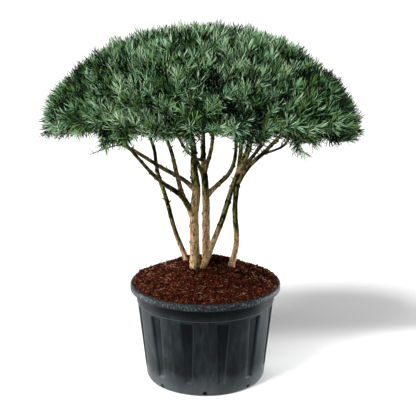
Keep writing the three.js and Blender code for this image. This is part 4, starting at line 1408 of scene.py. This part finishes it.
def grow_shoots(branchlets, random):
    """At each branchlet's end one shoot goes on and a few lean out round it and turn up."""
    _, _, hub, axis, light, is_star = branchlets
    count = len(hub)
    across, other = cross_axes(axis)
    length = random.uniform(*TIP_SHOOT, (count, 1))
    end = hub + unit(axis + random.normal(0, TIP_SWAY, (count, 3))) * length
    needles = np.where(is_star, STAR_NEEDLES, TIP_NEEDLES)
    leans = (np.where(is_star, STAR_LEAN_FOOT, LEAN_FOOT), np.where(is_star, STAR_LEAN_TIP, LEAN_TIP))
    rows = [(hub, hub + axis * length * 0.5, end, needles, light + TIP_LIGHT, np.full(count, True), *leans)]
    first_turn = random.uniform(0, TURN, count)
    for i in range(LATERALS):
        turn = (first_turn + i * TURN / LATERALS + random.normal(0, SIDE_TURN_JITTER, count))[:, None]
        outward = across * np.cos(turn) + other * np.sin(turn)
        length = random.uniform(*SIDE_SHOOT, (count, 1))
        foot = hub - axis * random.uniform(0, SIDE_FOOT_BELOW, (count, 1))
        lean = random.uniform(*SIDE_LEAN, (count, 1))
        bend = foot + unit(outward * lean + axis * SIDE_ONWARD) * length * SIDE_FIRST_PART
        end = bend + unit(outward * SIDE_END_LEAN + axis + UP * SIDE_END_UP) * length * SIDE_LAST_PART
        needles = np.full(count, SIDE_NEEDLES)
        rows.append((foot, bend, end, needles, light + SIDE_LIGHT, np.full(count, False), *leans))
    shoots = joined(*rows)
    is_clear = ~in_opening(shoots[2])
    return [column[is_clear] for column in shoots]


# Needles

def blades(curves, counts, random, span, lean, size=1.0):
    """Needles round each shoot: bent blades of five points, with the shoot that each one is on."""
    shoot = np.repeat(np.arange(len(counts)), counts)
    first = np.repeat(np.cumsum(counts) - counts, counts)
    order = np.arange(len(shoot)) - first
    share = (order + 0.5) / counts[shoot]
    t = (span[0] + (span[1] - span[0]) * share)[:, None]
    curves = [ends[shoot] for ends in curves]
    root = bezier(*curves, t)[:, 0]
    axis = bezier_heading(*curves, t)[:, 0]
    across, other = cross_axes(axis)
    turn = order * GOLDEN_ANGLE + random.uniform(0, NEEDLE_TURN_JITTER, len(shoot))
    turn = (turn + shoot * NEEDLE_TURN_STEP)[:, None]
    outward = across * np.cos(turn) + other * np.sin(turn)
    foot_lean, tip_lean = [np.broadcast_to(angles, len(counts))[shoot] for angles in lean]
    angle = foot_lean + (tip_lean - foot_lean) * share ** LEAN_POWER
    angle += random.normal(0, LEAN_JITTER, len(shoot))
    angle = np.radians(np.clip(angle, *LEAN_LIMITS))[:, None]
    way = axis * np.cos(angle) + outward * np.sin(angle)
    length = random.uniform(*NEEDLE_LENGTH, (len(shoot), 1)) * size * (0.85 + 0.15 * share[:, None])
    curl = random.uniform(*NEEDLE_CURL, (len(shoot), 1))
    middle = root + way * length * NEEDLE_BEND_AT
    tip = root + unit(way + axis * curl + UP * curl * NEEDLE_CURL_UP) * length
    flat = unit(np.cross(way, unit(random.normal(0, 1, way.shape))))
    half = flat * (NEEDLE_HALF_WIDTH * size * random.uniform(*NEEDLE_WIDTHS, (len(shoot), 1)))
    foot = half * NEEDLE_FOOT_WIDTH
    return np.stack([root - foot, root + foot, middle - half, middle + half, tip], 1), shoot


def inside_box(points):
    """Which points lie in the frame's box, give or take a little."""
    low, high = np.array(cad_box) / MM
    allowed = BOX_SHARE * (high - low) + BOX_MARGIN
    return np.all((points > low - allowed) & (points < high + allowed), axis=-1)


def add_needles(name, colour, gloss, points):
    """Blades of one tone as pieces of at most PIECE_TRIANGLES triangles; a blade has three triangles."""
    material = needle_material(name, colour, gloss)
    most = PIECE_TRIANGLES // 3
    pieces = []
    for part, first in enumerate(range(0, len(points), most)):
        chunk = points[first:first + most]
        base = np.arange(len(chunk))[:, None] * 5
        faces = [base + np.array([0, 1, 3, 2]), base + np.array([2, 3, 4])]
        label = f"needles_{name}_{part + 1}"
        pieces.append(add_piece(label, chunk.reshape(-1, 3), faces, material, is_smooth=False))
    return pieces


def deal_tones(light, counts, random):
    """The tone of each shoot: the best lit ones are the palest, with every tone's share of the needles."""
    order = np.argsort(-(light + random.normal(0, TONE_JITTER, len(light))))
    share = np.cumsum(counts[order]) / counts.sum()
    limits = np.cumsum([tone[2] for tone in NEEDLE_TONES])
    tone = np.empty(len(light), int)
    tone[order] = np.searchsorted(limits, share * 0.9999)
    return np.minimum(tone, len(NEEDLE_TONES) - 1)


def add_young_needles(shoots, random):
    """The needles of the shoots, in tones that follow how well lit each shoot is, with some mixed in."""
    *curves, counts, light, _, foot_lean, tip_lean = shoots
    points, shoot = blades(curves, counts, random, YOUNG_SHARE, (foot_lean, tip_lean))
    kept = inside_box(points[:, -1]) & ~in_opening(points.mean(axis=1))
    points, shoot = points[kept], shoot[kept]
    tone = deal_tones(light, counts, random)[shoot]
    tone = np.clip(tone + random.choice(TONE_STEPS, len(tone), p=TONE_STEP_SHARES), 0, len(NEEDLE_TONES) - 1)
    pieces = []
    for index, (name, colour, _, gloss) in enumerate(NEEDLE_TONES):
        pieces += add_needles(name, colour, gloss, points[tone == index])
    return pieces


def add_old_needles(branchlets, main, random):
    """Old needles on the branchlets, some of them dry, and dark ones on the inner branchlets it returns; the
    old and dark ones share a near-black tone, partly painted shade of the crown's inside.
    """
    counts = np.full(len(branchlets[0]), OLD_NEEDLES)
    old, _ = blades(branchlets[:3], counts, random, OLD_SHARE, OLD_LEAN, OLD_SMALLER)
    inner = grow_inner(main, random)
    _, _, end, hub = inner
    counts = np.full(len(hub), INNER_NEEDLES)
    dark, _ = blades((hub, (hub + end) / 2, end), counts, random, INNER_SHARE, INNER_LEAN, INNER_LARGER)
    old, dark = [needles[~in_opening(needles.mean(axis=1))] for needles in (old, dark)]
    is_dry = random.random(len(old)) < DRY_SHARE
    add_needles(*DRY_TONE, old[is_dry])
    add_needles(*OLD_SHADED_TONE, np.concatenate([old[~is_dry], dark]))
    return inner


def add_twigs(stems, main, branchlets, shoots, random):
    """The wood of the crown: the masses' stems and main twigs, the branchlets, and the green shoots."""
    *curves, radii = stems
    t = np.linspace(0, 1, 12)
    stem_tubes = (bezier(*curves, t), radii[:, None] * (1 - MASS_STEM_TAPER * t), 8)
    t = np.linspace(0, 1, 9)
    main_paths = bezier(*main, t)
    thickness = random.uniform(*MAIN_TWIG_THICKNESS, (len(main_paths), 1))
    main_radii = value_along(MAIN_TWIG_RADII, t) * thickness
    t = np.linspace(0, 1, 6)
    fine_paths = bezier(*branchlets, t)
    main_paths[:, 1:-1] += random.normal(0, MAIN_TWIG_WANDER, main_paths[:, 1:-1].shape)
    fine_paths[:, 1:-1] += random.normal(0, FINE_TWIG_WANDER, fine_paths[:, 1:-1].shape)
    brown = dull_material("twigs_brown", 0x6b4f38)
    add_tubes("twigs_main", [stem_tubes, (main_paths, main_radii, 5)], brown)
    fine_tubes = (fine_paths, value_along(FINE_TWIG_RADII, t), 3)
    add_tubes("twigs_fine", [fine_tubes], dull_material("twigs_tan", 0x8a6a48))
    t = np.linspace(0, 1, 3)
    green = (bezier(*shoots[:3], t), value_along(SHOOT_RADII, t), 3)
    add_tubes("twigs_green", [green], dull_material("twigs_green", 0x6f6b3f))


def add_buds(shoots, random):
    """A bud at the end of each leading shoot, and crowded brown buds at a few of the ends."""
    end, is_tip = shoots[2], shoots[5]
    heading = bezier_heading(*shoots[:3], [1.0])[:, 0]
    shares, radii = np.array(BUD_SHAPE).T
    paths = end[is_tip][:, None] + heading[is_tip][:, None] * (shares[:, None] * BUD_LENGTH)
    add_tubes("buds", [(paths, radii, 3)], dull_material("buds", 0x7d4a2c))
    chosen = is_tip & (random.random(len(end)) < CLUSTER_SHARE)
    end, heading = [np.repeat(rows[chosen], CLUSTER_BUDS, axis=0)[:, None] for rows in (end, heading)]
    way = unit(heading + random.normal(0, CLUSTER_SWAY, heading.shape))
    shares, radii = np.array(CLUSTER_SHAPE).T
    paths = end - heading * CLUSTER_BELOW + way * (shares[:, None] * CLUSTER_LENGTH)
    add_tubes("bud_clusters", [(paths, radii, 5)], dull_material("bud_clusters", 0x7c5838))


def add_foliage(ways, masses):
    """All that grows on from the limbs: needles first, then the twigs and buds that carry them."""
    random = np.random.default_rng(SEED)
    stems, main, hanging = grow_main_twigs(ways, masses)
    branchlets = grow_branchlets(main, random)
    loose = grow_hanging(hanging, random)
    branchlets = joined(branchlets, loose, grow_low_tufts(np.random.default_rng(SEED + 1)))
    shoots = grow_shoots(branchlets, random)
    pieces = add_young_needles(shoots, random)
    inner = add_old_needles(branchlets, main, random)
    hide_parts(*masses)
    add_twigs(stems, joined(main[:3], hanging[:3]), joined(branchlets[:3], inner[:3]), shoots, random)
    add_buds(shoots, random)


# Scene

def add_stage():
    """A pale round floor that rises into a low backdrop far away."""
    rings = [(r * math.cos(a), r * math.sin(a), z) for r, z in STAGE_ROWS for a in spokes(STAGE_SPOKES)]
    quads = ring_quads(len(STAGE_ROWS), STAGE_SPOKES)[:, TURNED_QUAD]
    floor = bpy.data.meshes.new("floor")
    floor.from_pydata(rings, [], [list(range(STAGE_SPOKES)), *quads.tolist()])
    floor.shade_smooth()
    floor.materials.append(new_material("pale_floor", 0xf2f2f2, 0.9, 0.1)[0])
    stage = add_object("floor", floor)


def add_sun(name, strength, softness, azimuth, height):
    light = bpy.data.lights.new(name, "SUN")
    light.energy = strength
    light.angle = math.radians(softness)
    sun = add_object(name, light)
    sun.rotation_euler = (math.radians(90 - height), 0, math.radians(azimuth))


def add_panel(name, place, power):
    """A soft panel that faces the plant and shows in the sheen of the container."""
    light = bpy.data.lights.new(name, "AREA")
    light.shape = "RECTANGLE"
    light.size = PANEL_WIDTH
    light.size_y = PANEL_HEIGHT
    light.spread = math.radians(PANEL_SPREAD)
    light.energy = power
    panel = add_object(name, light)
    panel.location = place
    panel.rotation_euler = (math.radians(90), 0, math.atan2(place[1], place[0]) + math.pi / 2)


def add_light():
    world = bpy.data.worlds.new("sky")
    world.use_nodes = True
    background = world.node_tree.nodes["Background"]
    background.inputs["Color"].default_value = (1.0, 1.0, 1.0, 1.0)
    background.inputs["Strength"].default_value = SKY
    bpy.context.scene.world = world
    for sun in SUNS:
        add_sun(*sun)
    for panel in PANELS:
        add_panel(*panel)
    bpy.context.scene.view_settings.view_transform = "Standard"


def add_camera():
    data = bpy.data.cameras.new("camera")
    data.lens = LENS
    camera = add_object("camera", data)
    camera.location = CAMERA_PLACE
    camera.rotation_euler = (math.radians(90 - CAMERA_DOWN), 0, 0)
    bpy.context.scene.camera = camera


masses = make_masses()
ways = {}
for limb in STEMS + BOUGHS:
    ways[limb["name"]] = limb_way(limb, ways, masses)
add_camera()
add_light()
add_stage()
add_pot(plastic_material())
add_soil(soil_material())
add_chips()
add_limbs(ways)
add_foliage(ways, masses)
